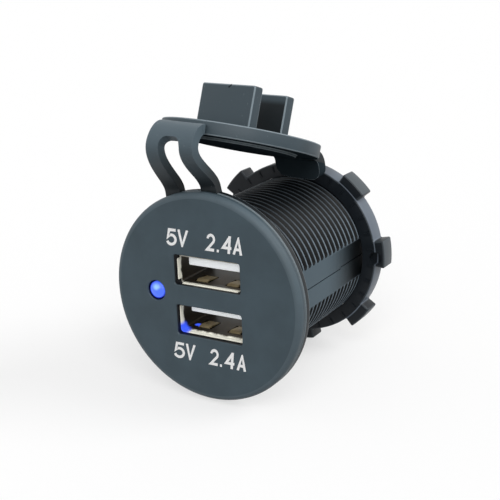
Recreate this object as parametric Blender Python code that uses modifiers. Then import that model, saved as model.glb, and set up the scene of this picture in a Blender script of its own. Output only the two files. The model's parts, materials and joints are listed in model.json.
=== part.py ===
"""Round panel-mount twin USB charging socket with a flip-open rubber cover and a ring nut.

The barrel axis is +Y, with the fascia's front plane at y = 0 and the barrel behind it.
+X is to the right as seen from the front and +Z is up. Lengths are in metres.
The cover is modelled open, as it stands when a plug is to go in.
"""

import math

import bmesh
import bpy
from mathutils import Matrix, Vector
from mathutils.geometry import interpolate_bezier

# Clearances
FIT_GAP = 0.0003
FINE_GAP = 0.0001
PARTING_GAP = 0.0002
MERGE_DISTANCE = 0.00001
CUT_MARGIN = 0.001

# Facets round a full turn
LARGE_ROUND = 64
BORE_ROUND = 40
THREAD_ROUND = 28
MEDIUM_ROUND = 24
SMALL_ROUND = 20
CORNER_STEPS = 3
SOFT_EDGE_STEPS = 2

# Barrel, of two half shells
BARREL_RADIUS = 0.0142
BARREL_WALL = 0.0014
BARREL_LENGTH = 0.0363
BARREL_FLAT_DEPTH = 0.00055
SIDE_BAR_HEIGHT = 0.0072
THREAD_PITCH = 0.001555
THREAD_DEPTH = 0.0006
THREAD_RUN_IN = 0.0026
CREST_SET_BACK = 0.003635
BOARD_STOP_WIDTH = 0.0008
BOARD_STOP_HEIGHT = 0.0009
RAIL_REACH = 0.0022
RAIL_HEIGHT = 0.0015
PARTING_STEP_Y = 0.0245
PARTING_STEP_HEIGHT = 0.00025

# Fascia
FLANGE_OVERHANG = 0.0043
FLANGE_THICKNESS = 0.0017
FLANGE_EDGE_RADIUS = 0.0010
NECK_WALL = 0.0007
NECK_LENGTH = 0.0055
BEAD_HEIGHT = 0.0005
BEAD_WIDTH = 0.0010
BEAD_FROM_END = 0.0010
WINDOW_WIDTH = 0.01315
WINDOW_HEIGHT = 0.00545
WINDOW_CORNER_RADIUS = 0.0005
WINDOW_PITCH = 0.00905
WINDOW_MIDDLE_Z = 0.000075

# USB-A receptacles
PORT_X = 0.0007
PORT_PITCH = 0.0085
PORT_MIDDLE_Z = 0.0002
PORT_WIDTH = 0.0125
PORT_HEIGHT = 0.00512
PORT_CORNER_RADIUS = 0.0004
SHELL_WALL = 0.0003
SHELL_LENGTH = 0.0139
LIP_LENGTH = 0.0007
LIP_FLARE = 0.00035
SPRING_WIDTH = 0.0022
SPRING_LENGTH = 0.0030
SPRING_SLOT = 0.0004
SPRING_SET_BACK = 0.0013
SPRING_SPACING = 0.0062
TONGUE_WIDTH = 0.0111
TONGUE_THICKNESS = 0.0016
TONGUE_SET_BACK = 0.0013
TONGUE_UNDERSIDE = 0.0002
INSULATOR_BLOCK_LENGTH = 0.0040
CONTACT_WIDTH = 0.0010
CONTACT_THICKNESS = 0.00025
CONTACT_SET_BACK = 0.0006
CONTACT_OUTER_X = 0.0035
CONTACT_INNER_X = 0.0010
TAIL_LENGTH = 0.0006

# Status lamp
LAMP_X = -0.00985
LAMP_Z = 0.00024
LAMP_RADIUS = 0.00155
LAMP_HOLE_RADIUS = 0.0018
LAMP_PROUD = 0.0002
LAMP_DOME_HEIGHT = 0.0005
LAMP_LENGTH = 0.0052
LAMP_RIM_RADIUS = 0.00175
LAMP_RIM_LENGTH = 0.0008
LEAD_RADIUS = 0.00025
LEAD_SPACING = 0.00254

# Circuit boards and what they carry
BOARD_THICKNESS = 0.0016
BOARD_SIDE_GAP = 0.0004
BOARD_END_GAP = 0.0008
COMPONENT_GAP = 0.0008
HEADER_SIZE = Vector((0.0120, 0.0025, 0.0025))
CORE_RADIUS = 0.0045
CORE_HEIGHT = 0.0052
CORE_FLANGE = 0.0009
CORE_NECK_RADIUS = 0.0024
COIL_RADIUS = 0.0042
CORE_X = -0.0056
OUTPUT_CAPACITOR_RADIUS = 0.00315
OUTPUT_CAPACITOR_HEIGHT = 0.0077
OUTPUT_CAPACITOR_X = 0.0052
INPUT_CAPACITOR_RADIUS = 0.0040
INPUT_CAPACITOR_HEIGHT = 0.0085
INPUT_CAPACITOR_X = 0.0032
CRIMP_DEPTH = 0.0003
CRIMP_HEIGHT = 0.0012
CAN_EDGE_RADIUS = 0.0005
CHIP_SIZE = Vector((0.0049, 0.0039, 0.0015))
CHIP_X = -0.0010
DIODE_SIZE = Vector((0.0036, 0.0043, 0.0021))
DIODE_X = 0.0060
PACKAGE_BEVEL = 0.0002

# Rear cap and blade terminals
REAR_CAP_THICKNESS = 0.0032
REAR_CAP_CHAMFER = 0.0007
SPIGOT_LENGTH = 0.0016
BLADE_WIDTH = 0.0063
BLADE_THICKNESS = 0.0008
BLADE_REACH = 0.0085
BLADE_SPACING = 0.0090
BLADE_TIP = 0.0012
BLADE_HOLE_RADIUS = 0.00085
BLADE_HOLE_FROM_TIP = 0.0038

# Ring nut
NUT_FRONT_Y = 0.0327
NUT_THICKNESS = 0.0037
NUT_RIM_HEIGHT = 0.00264
NUT_LUG_HEIGHT = 0.00187
NUT_LUG_COUNT = 8
NUT_LUG_HALF_ANGLE = math.radians(8.3)
NUT_TURN = math.radians(2.7)
NUT_EDGE_BEVEL = 0.0003
NUT_DIMPLE_RADIUS = 0.0014
NUT_DIMPLE_DEPTH = 0.0012
LUG_ARC_STEPS = 3
RIM_ARC_STEPS = 6

# Rubber cover: ring, straps and cap
COVER_GAP = 0.00015
RING_THICKNESS = 0.0015
RING_EDGE_RADIUS = 0.0003
RING_TURN = math.radians(8.8)
STRAP_THICKNESS = 0.0016
STRAP_PITCH = 0.00735
STRAP_WIDTH = 0.00275
STRAP_ROOT_WIDTH = 0.0031
STRAP_ROOT_FLARE = 0.0030
STRAP_EDGE_BEVEL = 0.0003
STRAP_STEP = 0.0007
STRAP_SHOULDER_RADIUS = 0.0012
STRAP_FRONT_Y = -0.00285
STRAP_FRONT_Z = 0.0263
STRAP_LOWER_PULL = 0.0022
STRAP_MIDDLE_PULL = 0.0028
STRAP_UPPER_PULL = 0.0015
WEB_LENGTH = 0.0036
SLOT_END_RADIUS = 0.0015
CAP_RADIUS = 0.01392
CAP_THICKNESS = 0.00234
CAP_EDGE_RADIUS = 0.0005
PLATE_WIDTH = 0.0122
PLATE_THICKNESS = 0.00209
PLATE_HEIGHT = 0.00735
PLATE_CORNER_RADIUS = 0.0004
PLATE_ROOT = 0.0008
PLATE_EDGE_BEVEL = 0.00025
PLATE_MIDDLE_Y = -0.00007
TAB_X = 0.0006
TAB_WIDTH = 0.0104
TAB_THICKNESS = 0.0019
TAB_LENGTH = 0.0060
TAB_ROOT = 0.0020
TAB_BEND_RADIUS = 0.0030
TAB_BEND_ANGLE = math.radians(62.0)
TAB_CORNER_RADIUS = 0.0022
TAB_STEP = 0.0008

# Open cap: where its plug face stands and how it is turned
CAP_OPEN_PLACE = Vector((-0.00008, 0.01444, 0.02605))
CAP_TILT = math.radians(18.9)
CAP_LEAN = math.radians(2.7)
CAP_YAW = math.radians(-10.7)

# Closed cap and the two places where the straps give
CAP_CLOSED_GAP = 0.00035
BEND_X = -0.0030
BEND_Y = -0.0010
FOLD_PLACE = Vector((-0.0027, -0.0015, 0.0282))

# Worked out from the sizes above
BARREL_INNER_RADIUS = BARREL_RADIUS - BARREL_WALL
FLANGE_RADIUS = BARREL_RADIUS + FLANGE_OVERHANG
NUT_RIM_RADIUS = BARREL_RADIUS + NUT_RIM_HEIGHT
NUT_LUG_RADIUS = NUT_RIM_RADIUS + NUT_LUG_HEIGHT
BARREL_FRONT_Y = FLANGE_THICKNESS + FIT_GAP
BARREL_BACK_Y = BARREL_FRONT_Y + BARREL_LENGTH
NECK_RADIUS = BARREL_INNER_RADIUS - FIT_GAP
NECK_INNER_RADIUS = NECK_RADIUS - NECK_WALL
NECK_BACK_Y = FLANGE_THICKNESS + NECK_LENGTH
BEAD_BACK_Y = NECK_BACK_Y - BEAD_FROM_END
BEAD_FRONT_Y = BEAD_BACK_Y - BEAD_WIDTH
SHELL_FRONT_Y = FLANGE_THICKNESS + FINE_GAP
SHELL_BACK_Y = SHELL_FRONT_Y + SHELL_LENGTH
TONGUE_FRONT_Y = SHELL_FRONT_Y + TONGUE_SET_BACK
PLUG_SPACE_HEIGHT = PORT_HEIGHT / 2 + TONGUE_UNDERSIDE
PLUG_SPACE_OFFSET_Z = PLUG_SPACE_HEIGHT / 2 - PORT_HEIGHT / 2
USB_BOARD_FRONT_Y = SHELL_BACK_Y + FIT_GAP
USB_BOARD_BACK_Y = USB_BOARD_FRONT_Y + BOARD_THICKNESS
USB_BOARD_RADIUS = BARREL_INNER_RADIUS - FIT_GAP
REAR_CAP_FRONT_Y = BARREL_BACK_Y + FIT_GAP
REAR_CAP_BACK_Y = REAR_CAP_FRONT_Y + REAR_CAP_THICKNESS
SPIGOT_FRONT_Y = REAR_CAP_FRONT_Y - SPIGOT_LENGTH
POWER_BOARD_FRONT_Y = USB_BOARD_BACK_Y + FIT_GAP
POWER_BOARD_BACK_Y = SPIGOT_FRONT_Y - BOARD_END_GAP
POWER_BOARD_LENGTH = POWER_BOARD_BACK_Y - POWER_BOARD_FRONT_Y
POWER_BOARD_WIDTH = 2 * (BARREL_INNER_RADIUS - BOARD_SIDE_GAP)
BOARD_TOP_Z = BOARD_THICKNESS / 2
CORE_Y = POWER_BOARD_FRONT_Y + HEADER_SIZE.y + FIT_GAP + CORE_RADIUS
CHIP_Y = CORE_Y
INPUT_CAPACITOR_Y = POWER_BOARD_BACK_Y - INPUT_CAPACITOR_RADIUS
OUTPUT_CAPACITOR_Y = POWER_BOARD_FRONT_Y + COMPONENT_GAP + OUTPUT_CAPACITOR_RADIUS
OUTPUT_CAPACITOR_BACK_Y = OUTPUT_CAPACITOR_Y + OUTPUT_CAPACITOR_RADIUS
DIODE_Y = OUTPUT_CAPACITOR_BACK_Y + COMPONENT_GAP + DIODE_SIZE.y / 2
BLADE_FRONT_Y = POWER_BOARD_BACK_Y + FIT_GAP
BLADE_BACK_Y = REAR_CAP_BACK_Y + BLADE_REACH
RING_FRONT_Y = FLANGE_THICKNESS + COVER_GAP
RING_BACK_Y = RING_FRONT_Y + RING_THICKNESS
STRAP_PAIR_HALF_WIDTH = (STRAP_PITCH + STRAP_WIDTH) / 2
SLOT_HALF_WIDTH = (STRAP_PITCH - STRAP_WIDTH) / 2
PORT_HEIGHTS = {
    "upper": PORT_MIDDLE_Z + PORT_PITCH / 2,
    "lower": PORT_MIDDLE_Z - PORT_PITCH / 2,
}
CONTACT_PLACES = (-CONTACT_OUTER_X, -CONTACT_INNER_X, CONTACT_INNER_X, CONTACT_OUTER_X)

# Turns that lay a flat outline or a lathe axis where a piece needs it
FACING_FRONT = Matrix.Rotation(math.radians(90), 4, "X")
ALONG_BARREL = Matrix.Rotation(math.radians(-90), 4, "X")
FACING_SIDE = Matrix.Rotation(math.radians(90), 4, "Z") @ FACING_FRONT
UPSIDE_DOWN = Matrix.Rotation(math.pi, 4, "X")


def clear_scene():
    """Remove every object, so that the part stands alone."""
    for old in list(bpy.data.objects):
        bpy.data.objects.remove(old, do_unlink=True)


def make_collection(name):
    """Add a collection to the scene."""
    collection = bpy.data.collections.new(name)
    bpy.context.scene.collection.children.link(collection)
    return collection


def make_material(name, colour, roughness, metallic=0.0):
    """Make a Principled material with one colour and finish."""
    material = bpy.data.materials.new(name)
    material.use_nodes = True
    shader = material.node_tree.nodes["Principled BSDF"]
    shader.inputs["Base Color"].default_value = (*colour, 1.0)
    shader.inputs["Roughness"].default_value = roughness
    shader.inputs["Metallic"].default_value = metallic
    material.diffuse_color = (*colour, 1.0)
    return material


clear_scene()
PARTS = make_collection("car_dual_usb_socket")
CUTTERS = make_collection("cutters_and_guides")

RUBBER = make_material("slate_rubber", (0.055, 0.080, 0.100), 0.70)
FASCIA_PLASTIC = make_material("fascia_plastic", (0.060, 0.086, 0.105), 0.55)
BARREL_PLASTIC = make_material("barrel_plastic", (0.012, 0.013, 0.015), 0.35)
NUT_PLASTIC = make_material("nut_plastic", (0.030, 0.034, 0.038), 0.45)
PORT_STEEL = make_material("port_steel", (0.80, 0.78, 0.68), 0.28, 1.0)
WHITE_INSULATOR = make_material("white_insulator", (0.84, 0.86, 0.88), 0.40)
GOLD_CONTACT = make_material("gold_contact", (0.85, 0.60, 0.22), 0.25, 1.0)
BLUE_LENS = make_material("blue_lens", (0.06, 0.18, 0.95), 0.12)
TINNED_WIRE = make_material("tinned_wire", (0.72, 0.72, 0.70), 0.30, 1.0)
BOARD_LAMINATE = make_material("board_laminate", (0.02, 0.16, 0.06), 0.45)
BLACK_RESIN = make_material("black_resin", (0.015, 0.015, 0.016), 0.50)
FERRITE = make_material("ferrite", (0.05, 0.05, 0.055), 0.60)
COPPER_COIL = make_material("copper_coil", (0.70, 0.30, 0.14), 0.35, 1.0)
CAN_ALUMINIUM = make_material("can_aluminium", (0.75, 0.76, 0.78), 0.30, 1.0)
TERMINAL_BRASS = make_material("terminal_brass", (0.78, 0.66, 0.38), 0.30, 1.0)


def add_object(name, mesh, material=None):
    """Link a mesh as a part, or as a cutter where it has no material."""
    piece = bpy.data.objects.new(name, mesh)
    if material is None:
        CUTTERS.objects.link(piece)
        piece.hide_render = True
        piece.display_type = "WIRE"
        return piece
    PARTS.objects.link(piece)
    if not mesh.materials:
        mesh.materials.append(material)
    return piece


def add_empty(name, matrix, parent=None):
    """Add an empty that carries pieces, standing at a world matrix."""
    empty = bpy.data.objects.new(name, None)
    CUTTERS.objects.link(empty)
    hang(empty, matrix, parent)
    return empty


def hang(piece, matrix, parent=None):
    """Stand a piece at a world matrix, under a parent where it has one."""
    bpy.context.view_layer.update()
    if parent is not None:
        piece.parent = parent
        piece.matrix_parent_inverse = parent.matrix_world.inverted()
    piece.matrix_world = matrix
    bpy.context.view_layer.update()


def shift(x=0.0, y=0.0, z=0.0):
    """Translation matrix."""
    return Matrix.Translation((x, y, z))


def round_faces(mesh, angle=35.0):
    """Shade a mesh smooth, with creases where it turns sharply."""
    mesh.shade_smooth()
    mesh.set_sharp_from_angle(angle=math.radians(angle))


def finish_mesh(name, work):
    """Turn an edit mesh into mesh data with its faces pointing out."""
    bmesh.ops.recalc_face_normals(work, faces=work.faces)
    mesh = bpy.data.meshes.new(name)
    work.to_mesh(mesh)
    work.free()
    return mesh


def arc(centre, radius, start, end, steps):
    """Points along an arc, both ends included, with its angles in radians."""
    turn = (end - start) / steps
    angles = [start + turn * step for step in range(steps + 1)]
    return [(centre[0] + radius * math.cos(a), centre[1] + radius * math.sin(a)) for a in angles]


def quarter_arc(centre, radius, start_degrees, direction=-1, steps=CORNER_STEPS):
    """Points round a quarter circle, clockwise unless told otherwise."""
    start = math.radians(start_degrees)
    return arc(centre, radius, start, start + direction * math.pi / 2, steps)


def rounded_rectangle(width, height, radius, steps=CORNER_STEPS):
    """Outline of a rectangle with round corners, about its middle."""
    x = width / 2 - radius
    y = height / 2 - radius
    corners = (((x, y), 0), ((-x, y), 90), ((-x, -y), 180), ((x, -y), 270))
    points = []
    for centre, start in corners:
        points += quarter_arc(centre, radius, start, 1, steps)
    return points


def turned(name, profile, matrix, material=None, steps=LARGE_ROUND, parent=None):
    """Revolve a (radius, height) profile about local Z.

    The profile's outer side runs from its top to its bottom. It closes on itself, unless
    both its ends lie on the axis.
    """
    work = bmesh.new()
    verts = [work.verts.new((radius, 0.0, height)) for radius, height in profile]
    for first, second in zip(verts, verts[1:]):
        work.edges.new((first, second))
    if profile[0][0] > 0:
        work.edges.new((verts[-1], verts[0]))
    mesh = bpy.data.meshes.new(name)
    work.to_mesh(mesh)
    work.free()
    piece = add_object(name, mesh, material)
    hang(piece, matrix, parent)
    screw = piece.modifiers.new("turn", "SCREW")
    screw.axis = "Z"
    screw.steps = steps
    screw.render_steps = steps
    screw.use_merge_vertices = True
    screw.merge_threshold = MERGE_DISTANCE
    screw.use_smooth_shade = False
    return piece


def flat_mesh(name, outlines, thickness):
    """Closed plate about z = 0 from flat outlines, where inner ones are holes."""
    curve = bpy.data.curves.new(name, "CURVE")
    curve.dimensions = "2D"
    curve.fill_mode = "BOTH"
    curve.extrude = thickness / 2
    for outline in outlines:
        spline = curve.splines.new("POLY")
        spline.points.add(len(outline) - 1)
        for point, (x, y) in zip(spline.points, outline):
            point.co = (x, y, 0.0, 1.0)
        spline.use_cyclic_u = True
    holder = bpy.data.objects.new(name, curve)
    CUTTERS.objects.link(holder)
    depsgraph = bpy.context.evaluated_depsgraph_get()
    mesh = bpy.data.meshes.new_from_object(holder.evaluated_get(depsgraph))
    bpy.data.objects.remove(holder)
    bpy.data.curves.remove(curve)
    work = bmesh.new()
    work.from_mesh(mesh)
    bpy.data.meshes.remove(mesh)
    bmesh.ops.remove_doubles(work, verts=work.verts, dist=MERGE_DISTANCE)
    return finish_mesh(name, work)


def flat_piece(name, outlines, thickness, matrix, material=None, parent=None):
    """Plate cut to outlines, standing at a world matrix."""
    piece = add_object(name, flat_mesh(name, outlines, thickness), material)
    hang(piece, matrix, parent)
    return piece


def box(name, size, centre, material=None):
    """Rectangular block about a centre."""
    work = bmesh.new()
    bmesh.ops.create_cube(work, size=1.0, matrix=Matrix.Diagonal((*size, 1.0)))
    piece = add_object(name, finish_mesh(name, work), material)
    hang(piece, Matrix.Translation(centre))
    return piece


def box_between(name, low, high, material=None):
    """Rectangular block between its lowest and highest corners."""
    low = Vector(low)
    high = Vector(high)
    return box(name, high - low, (low + high) / 2, material)


def combine(piece, tool, operation="DIFFERENCE"):
    """Cut a piece with a tool, or join the tool to it."""
    modifier = piece.modifiers.new(tool.name, "BOOLEAN")
    modifier.operation = operation
    modifier.solver = "EXACT"
    modifier.object = tool


def soften(piece, width, segments=2, angle=40.0):
    """Round a piece's sharp edges."""
    bevel = piece.modifiers.new("edges", "BEVEL")
    bevel.width = width
    bevel.segments = segments
    bevel.limit_method = "ANGLE"
    bevel.angle_limit = math.radians(angle)


def circle(radius, steps, centre=(0.0, 0.0)):
    """Outline of a full circle."""
    return arc(centre, radius, 0.0, 2 * math.pi, steps)[:-1]


def build_fascia():
    """Flange with a neck whose bead locks into the barrel, two windows and a lamp hole."""
    edge = FLANGE_EDGE_RADIUS
    profile = [
        (0.0, FLANGE_THICKNESS),
        (NECK_INNER_RADIUS, FLANGE_THICKNESS),
        (NECK_INNER_RADIUS, NECK_BACK_Y),
        (NECK_RADIUS, NECK_BACK_Y),
        (NECK_RADIUS, BEAD_BACK_Y),
        (NECK_RADIUS + BEAD_HEIGHT, BEAD_BACK_Y),
        (NECK_RADIUS + BEAD_HEIGHT, BEAD_FRONT_Y),
        (NECK_RADIUS, BEAD_FRONT_Y),
        (NECK_RADIUS, FLANGE_THICKNESS),
        (FLANGE_RADIUS, FLANGE_THICKNESS),
        *quarter_arc((FLANGE_RADIUS - edge, edge), edge, 0),
        (0.0, 0.0),
    ]
    fascia = turned("front_fascia", profile, ALONG_BARREL, FASCIA_PLASTIC)
    depth = 2 * FLANGE_THICKNESS + 2 * CUT_MARGIN
    for side, name in ((1, "window_upper"), (-1, "window_lower")):
        outline = rounded_rectangle(WINDOW_WIDTH, WINDOW_HEIGHT, WINDOW_CORNER_RADIUS)
        middle_z = WINDOW_MIDDLE_Z + side * WINDOW_PITCH / 2
        window = flat_piece(name, [outline], depth, shift(PORT_X, 0.0, middle_z) @ FACING_FRONT)
        combine(fascia, window)
    outline = circle(LAMP_HOLE_RADIUS, SMALL_ROUND)
    hole = flat_piece("lamp_hole", [outline], depth, shift(LAMP_X, 0.0, LAMP_Z) @ FACING_FRONT)
    combine(fascia, hole)
    round_faces(fascia.data)


def threaded_core(name):
    """Solid core of the barrel: a plain band at its front, then a right-hand thread."""
    root = BARREL_RADIUS - THREAD_DEPTH
    before = math.ceil(CREST_SET_BACK / THREAD_PITCH) + 2
    behind = math.ceil((BARREL_LENGTH - CREST_SET_BACK) / THREAD_PITCH) + 2
    first = BARREL_FRONT_Y + CREST_SET_BACK - before * THREAD_PITCH
    work = bmesh.new()
    verts = []
    for tooth in range(before + behind):
        crest_y = first + tooth * THREAD_PITCH
        verts.append(work.verts.new((0.0, crest_y, BARREL_RADIUS)))
        verts.append(work.verts.new((0.0, crest_y + THREAD_PITCH / 2, root)))
    edges = [work.edges.new(pair) for pair in zip(verts, verts[1:])]
    bmesh.ops.spin(
        work,
        geom=verts + edges,
        cent=(0.0, 0.0, 0.0),
        axis=(0.0, 1.0, 0.0),
        dvec=(0.0, THREAD_PITCH / THREAD_ROUND, 0.0),
        angle=2 * math.pi,
        steps=THREAD_ROUND,
    )
    bmesh.ops.remove_doubles(work, verts=work.verts, dist=MERGE_DISTANCE)
    for vert in work.verts:
        if vert.co.y < BARREL_FRONT_Y + THREAD_RUN_IN:
            reach = root / vert.co.xz.length
            vert.co.x *= reach
            vert.co.z *= reach
    for end_y, outwards in ((BARREL_FRONT_Y, -1.0), (BARREL_BACK_Y, 1.0)):
        bmesh.ops.bisect_plane(
            work,
            geom=work.verts[:] + work.edges[:] + work.faces[:],
            dist=MERGE_DISTANCE / 10,
            plane_co=(0.0, end_y, 0.0),
            plane_no=(0.0, outwards, 0.0),
            clear_outer=True,
        )
    open_edges = [edge for edge in work.edges if edge.is_boundary]
    bmesh.ops.holes_fill(work, edges=open_edges, sides=0)
    return add_object(name, finish_mesh(name, work), BARREL_PLASTIC)


def threaded_tube(name):
    """Whole barrel, threaded but for a bar on each side, with the groove for the bead."""
    groove = BARREL_INNER_RADIUS + BEAD_HEIGHT
    stop = BARREL_INNER_RADIUS - BOARD_STOP_HEIGHT
    stop_back = USB_BOARD_FRONT_Y - FIT_GAP
    bore = [
        (0.0, BARREL_BACK_Y + CUT_MARGIN),
        (BARREL_INNER_RADIUS, BARREL_BACK_Y + CUT_MARGIN),
        (BARREL_INNER_RADIUS, stop_back),
        (stop, stop_back),
        (stop, stop_back - BOARD_STOP_WIDTH),
        (BARREL_INNER_RADIUS, stop_back - BOARD_STOP_WIDTH),
        (BARREL_INNER_RADIUS, BEAD_BACK_Y + FIT_GAP),
        (groove, BEAD_BACK_Y + FIT_GAP),
        (groove, BEAD_FRONT_Y - FIT_GAP),
        (BARREL_INNER_RADIUS, BEAD_FRONT_Y - FIT_GAP),
        (BARREL_INNER_RADIUS, BARREL_FRONT_Y - CUT_MARGIN),
        (0.0, BARREL_FRONT_Y - CUT_MARGIN),
    ]
    tube = threaded_core(name)
    bars = (2 * BARREL_RADIUS, BARREL_LENGTH, SIDE_BAR_HEIGHT)
    middle_y = (BARREL_FRONT_Y + BARREL_BACK_Y) / 2
    combine(tube, box(f"{name}_bars", bars, (0.0, middle_y, 0.0)), "UNION")
    combine(tube, turned(f"{name}_bore", bore, ALONG_BARREL, steps=BORE_ROUND))
    return tube


def build_barrel():
    """Two half shells that clamp the neck and the power board, with a step in their joint."""
    reach = BARREL_RADIUS + CUT_MARGIN
    back = BARREL_BACK_Y + CUT_MARGIN
    half_gap = PARTING_GAP / 2
    step_low = Vector((BARREL_INNER_RADIUS - CUT_MARGIN, PARTING_STEP_Y, -CUT_MARGIN))
    step_high = Vector((reach + CUT_MARGIN, back + CUT_MARGIN, PARTING_STEP_HEIGHT))
    clearance = Vector((0.0, PARTING_GAP, 0.0))
    headroom = Vector((0.0, 0.0, PARTING_GAP))
    below = box_between("space_below", (-reach, 0.0, -reach), (reach, back, half_gap))
    above = box_between("space_above", (-reach, 0.0, -half_gap), (reach, back, reach))
    combine(above, box_between("raised_step", step_low, step_high))
    notch = box_between("step_notch", step_low - clearance, step_high + headroom)
    for name, side, cutters in (
        ("barrel_upper_shell", 1, (below, notch)),
        ("barrel_lower_shell", -1, (above,)),
    ):
        shell = threaded_tube(name)
        near = side * (BOARD_TOP_Z + FIT_GAP)
        far = near + side * RAIL_HEIGHT
        for hand, label in ((-1, "left"), (1, "right")):
            inner = hand * (BARREL_INNER_RADIUS - RAIL_REACH)
            outer = hand * (BARREL_INNER_RADIUS + BARREL_WALL / 3)
            low = (min(inner, outer), POWER_BOARD_FRONT_Y, min(near, far))
            high = (max(inner, outer), POWER_BOARD_BACK_Y, max(near, far))
            combine(shell, box_between(f"{name}_{label}_rail", low, high), "UNION")
        for cutter in cutters:
            combine(shell, cutter)
        for hand, label in ((-1, "left"), (1, "right")):
            flat = BARREL_RADIUS - BARREL_FLAT_DEPTH + BARREL_RADIUS / 2
            size = (BARREL_RADIUS, 2 * back, 2 * reach)
            combine(shell, box(f"{name}_{label}_flat", size, (hand * flat, 0.0, 0.0)))
        round_faces(shell.data)


def nut_outline():
    """Lugged outline of the ring nut, anticlockwise from its first lug."""
    pitch = 2 * math.pi / NUT_LUG_COUNT
    points = []
    for lug in range(NUT_LUG_COUNT):
        middle = NUT_TURN + lug * pitch
        start = middle - NUT_LUG_HALF_ANGLE
        end = middle + NUT_LUG_HALF_ANGLE
        next_start = start + pitch
        points += arc((0.0, 0.0), NUT_LUG_RADIUS, start, end, LUG_ARC_STEPS)
        points += arc((0.0, 0.0), NUT_RIM_RADIUS, end, next_start, RIM_ARC_STEPS)
    return points


def build_nut():
    """Ring nut with eight square lugs, running clear of the thread crests."""
    bore = circle(BARREL_RADIUS + FIT_GAP, LARGE_ROUND)
    middle_y = NUT_FRONT_Y + NUT_THICKNESS / 2
    place = shift(0.0, middle_y, 0.0) @ FACING_FRONT
    nut = flat_piece("mounting_nut", [nut_outline(), bore], NUT_THICKNESS, place, NUT_PLASTIC)
    soften(nut, NUT_EDGE_BEVEL, 1)
    radius = (NUT_RIM_RADIUS + BARREL_RADIUS + NUT_DIMPLE_RADIUS) / 2
    centre = (radius * math.cos(NUT_TURN), NUT_FRONT_Y, radius * math.sin(NUT_TURN))
    dimple = flat_piece(
        "nut_dimple",
        [circle(NUT_DIMPLE_RADIUS, SMALL_ROUND)],
        2 * NUT_DIMPLE_DEPTH,
        Matrix.Translation(centre) @ FACING_FRONT,
    )
    combine(nut, dimple)
    round_faces(nut.data)


def build_port(level, middle_z):
    """One USB-A receptacle: flared steel shell, insulator with its tongue, four contacts."""
    build_port_shell(level, middle_z)
    build_insulator(level, middle_z)
    for number, x in enumerate(CONTACT_PLACES, 1):
        low = contact_low(x, middle_z)
        high = low + Vector((CONTACT_WIDTH, 0.0, CONTACT_THICKNESS))
        high.y = USB_BOARD_BACK_Y + TAIL_LENGTH
        box_between(f"usb_contact_{level}_{number}", low, high, GOLD_CONTACT)


def contact_low(x, middle_z):
    """Lowest corner of the contact at an offset from the port's middle."""
    return Vector((
        PORT_X + x - CONTACT_WIDTH / 2,
        TONGUE_FRONT_Y + CONTACT_SET_BACK,
        middle_z + TONGUE_UNDERSIDE + FINE_GAP,
    ))


def build_port_shell(level, middle_z):
    """Folded steel shell with a flared mouth and two spring fingers in its floor."""
    work = bmesh.new()
    outline = rounded_rectangle(PORT_WIDTH, PORT_HEIGHT, PORT_CORNER_RADIUS, 2)
    verts = [work.verts.new((x, SHELL_BACK_Y, z)) for x, z in outline]
    edges = [work.edges.new(pair) for pair in zip(verts, verts[1:] + verts[:1])]
    mouth = (
        1 + 2 * LIP_FLARE / PORT_WIDTH,
        1.0,
        1 + 2 * LIP_FLARE / PORT_HEIGHT,
    )
    for y, spread in ((SHELL_FRONT_Y + LIP_LENGTH, None), (SHELL_FRONT_Y, mouth)):
        grown = bmesh.ops.extrude_edge_only(work, edges=edges)["geom"]
        edges = [item for item in grown if isinstance(item, bmesh.types.BMEdge)]
        ring = [item for item in grown if isinstance(item, bmesh.types.BMVert)]
        for vert in ring:
            vert.co.y = y
        if spread:
            bmesh.ops.scale(work, vec=spread, verts=ring)
    name = f"usb_shell_{level}"
    shell = add_object(name, finish_mesh(name, work), PORT_STEEL)
    hang(shell, shift(PORT_X, 0.0, middle_z))
    wall = shell.modifiers.new("wall", "SOLIDIFY")
    wall.thickness = SHELL_WALL
    wall.offset = 1.0
    wall.use_even_offset = True
    half = SPRING_WIDTH / 2
    slot = SPRING_SLOT
    finger = [
        (-half - slot, 0.0),
        (half + slot, 0.0),
        (half + slot, SPRING_LENGTH),
        (half, SPRING_LENGTH),
        (half, slot),
        (-half, slot),
        (-half, SPRING_LENGTH),
        (-half - slot, SPRING_LENGTH),
    ]
    floor_z = middle_z - PORT_HEIGHT / 2
    for hand, label in ((-1, "left"), (1, "right")):
        place = shift(PORT_X + hand * SPRING_SPACING / 2, SHELL_FRONT_Y + SPRING_SET_BACK, floor_z)
        cut = flat_piece(f"{name}_{label}_finger", [finger], 4 * SHELL_WALL, place)
        combine(shell, cut)


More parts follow.
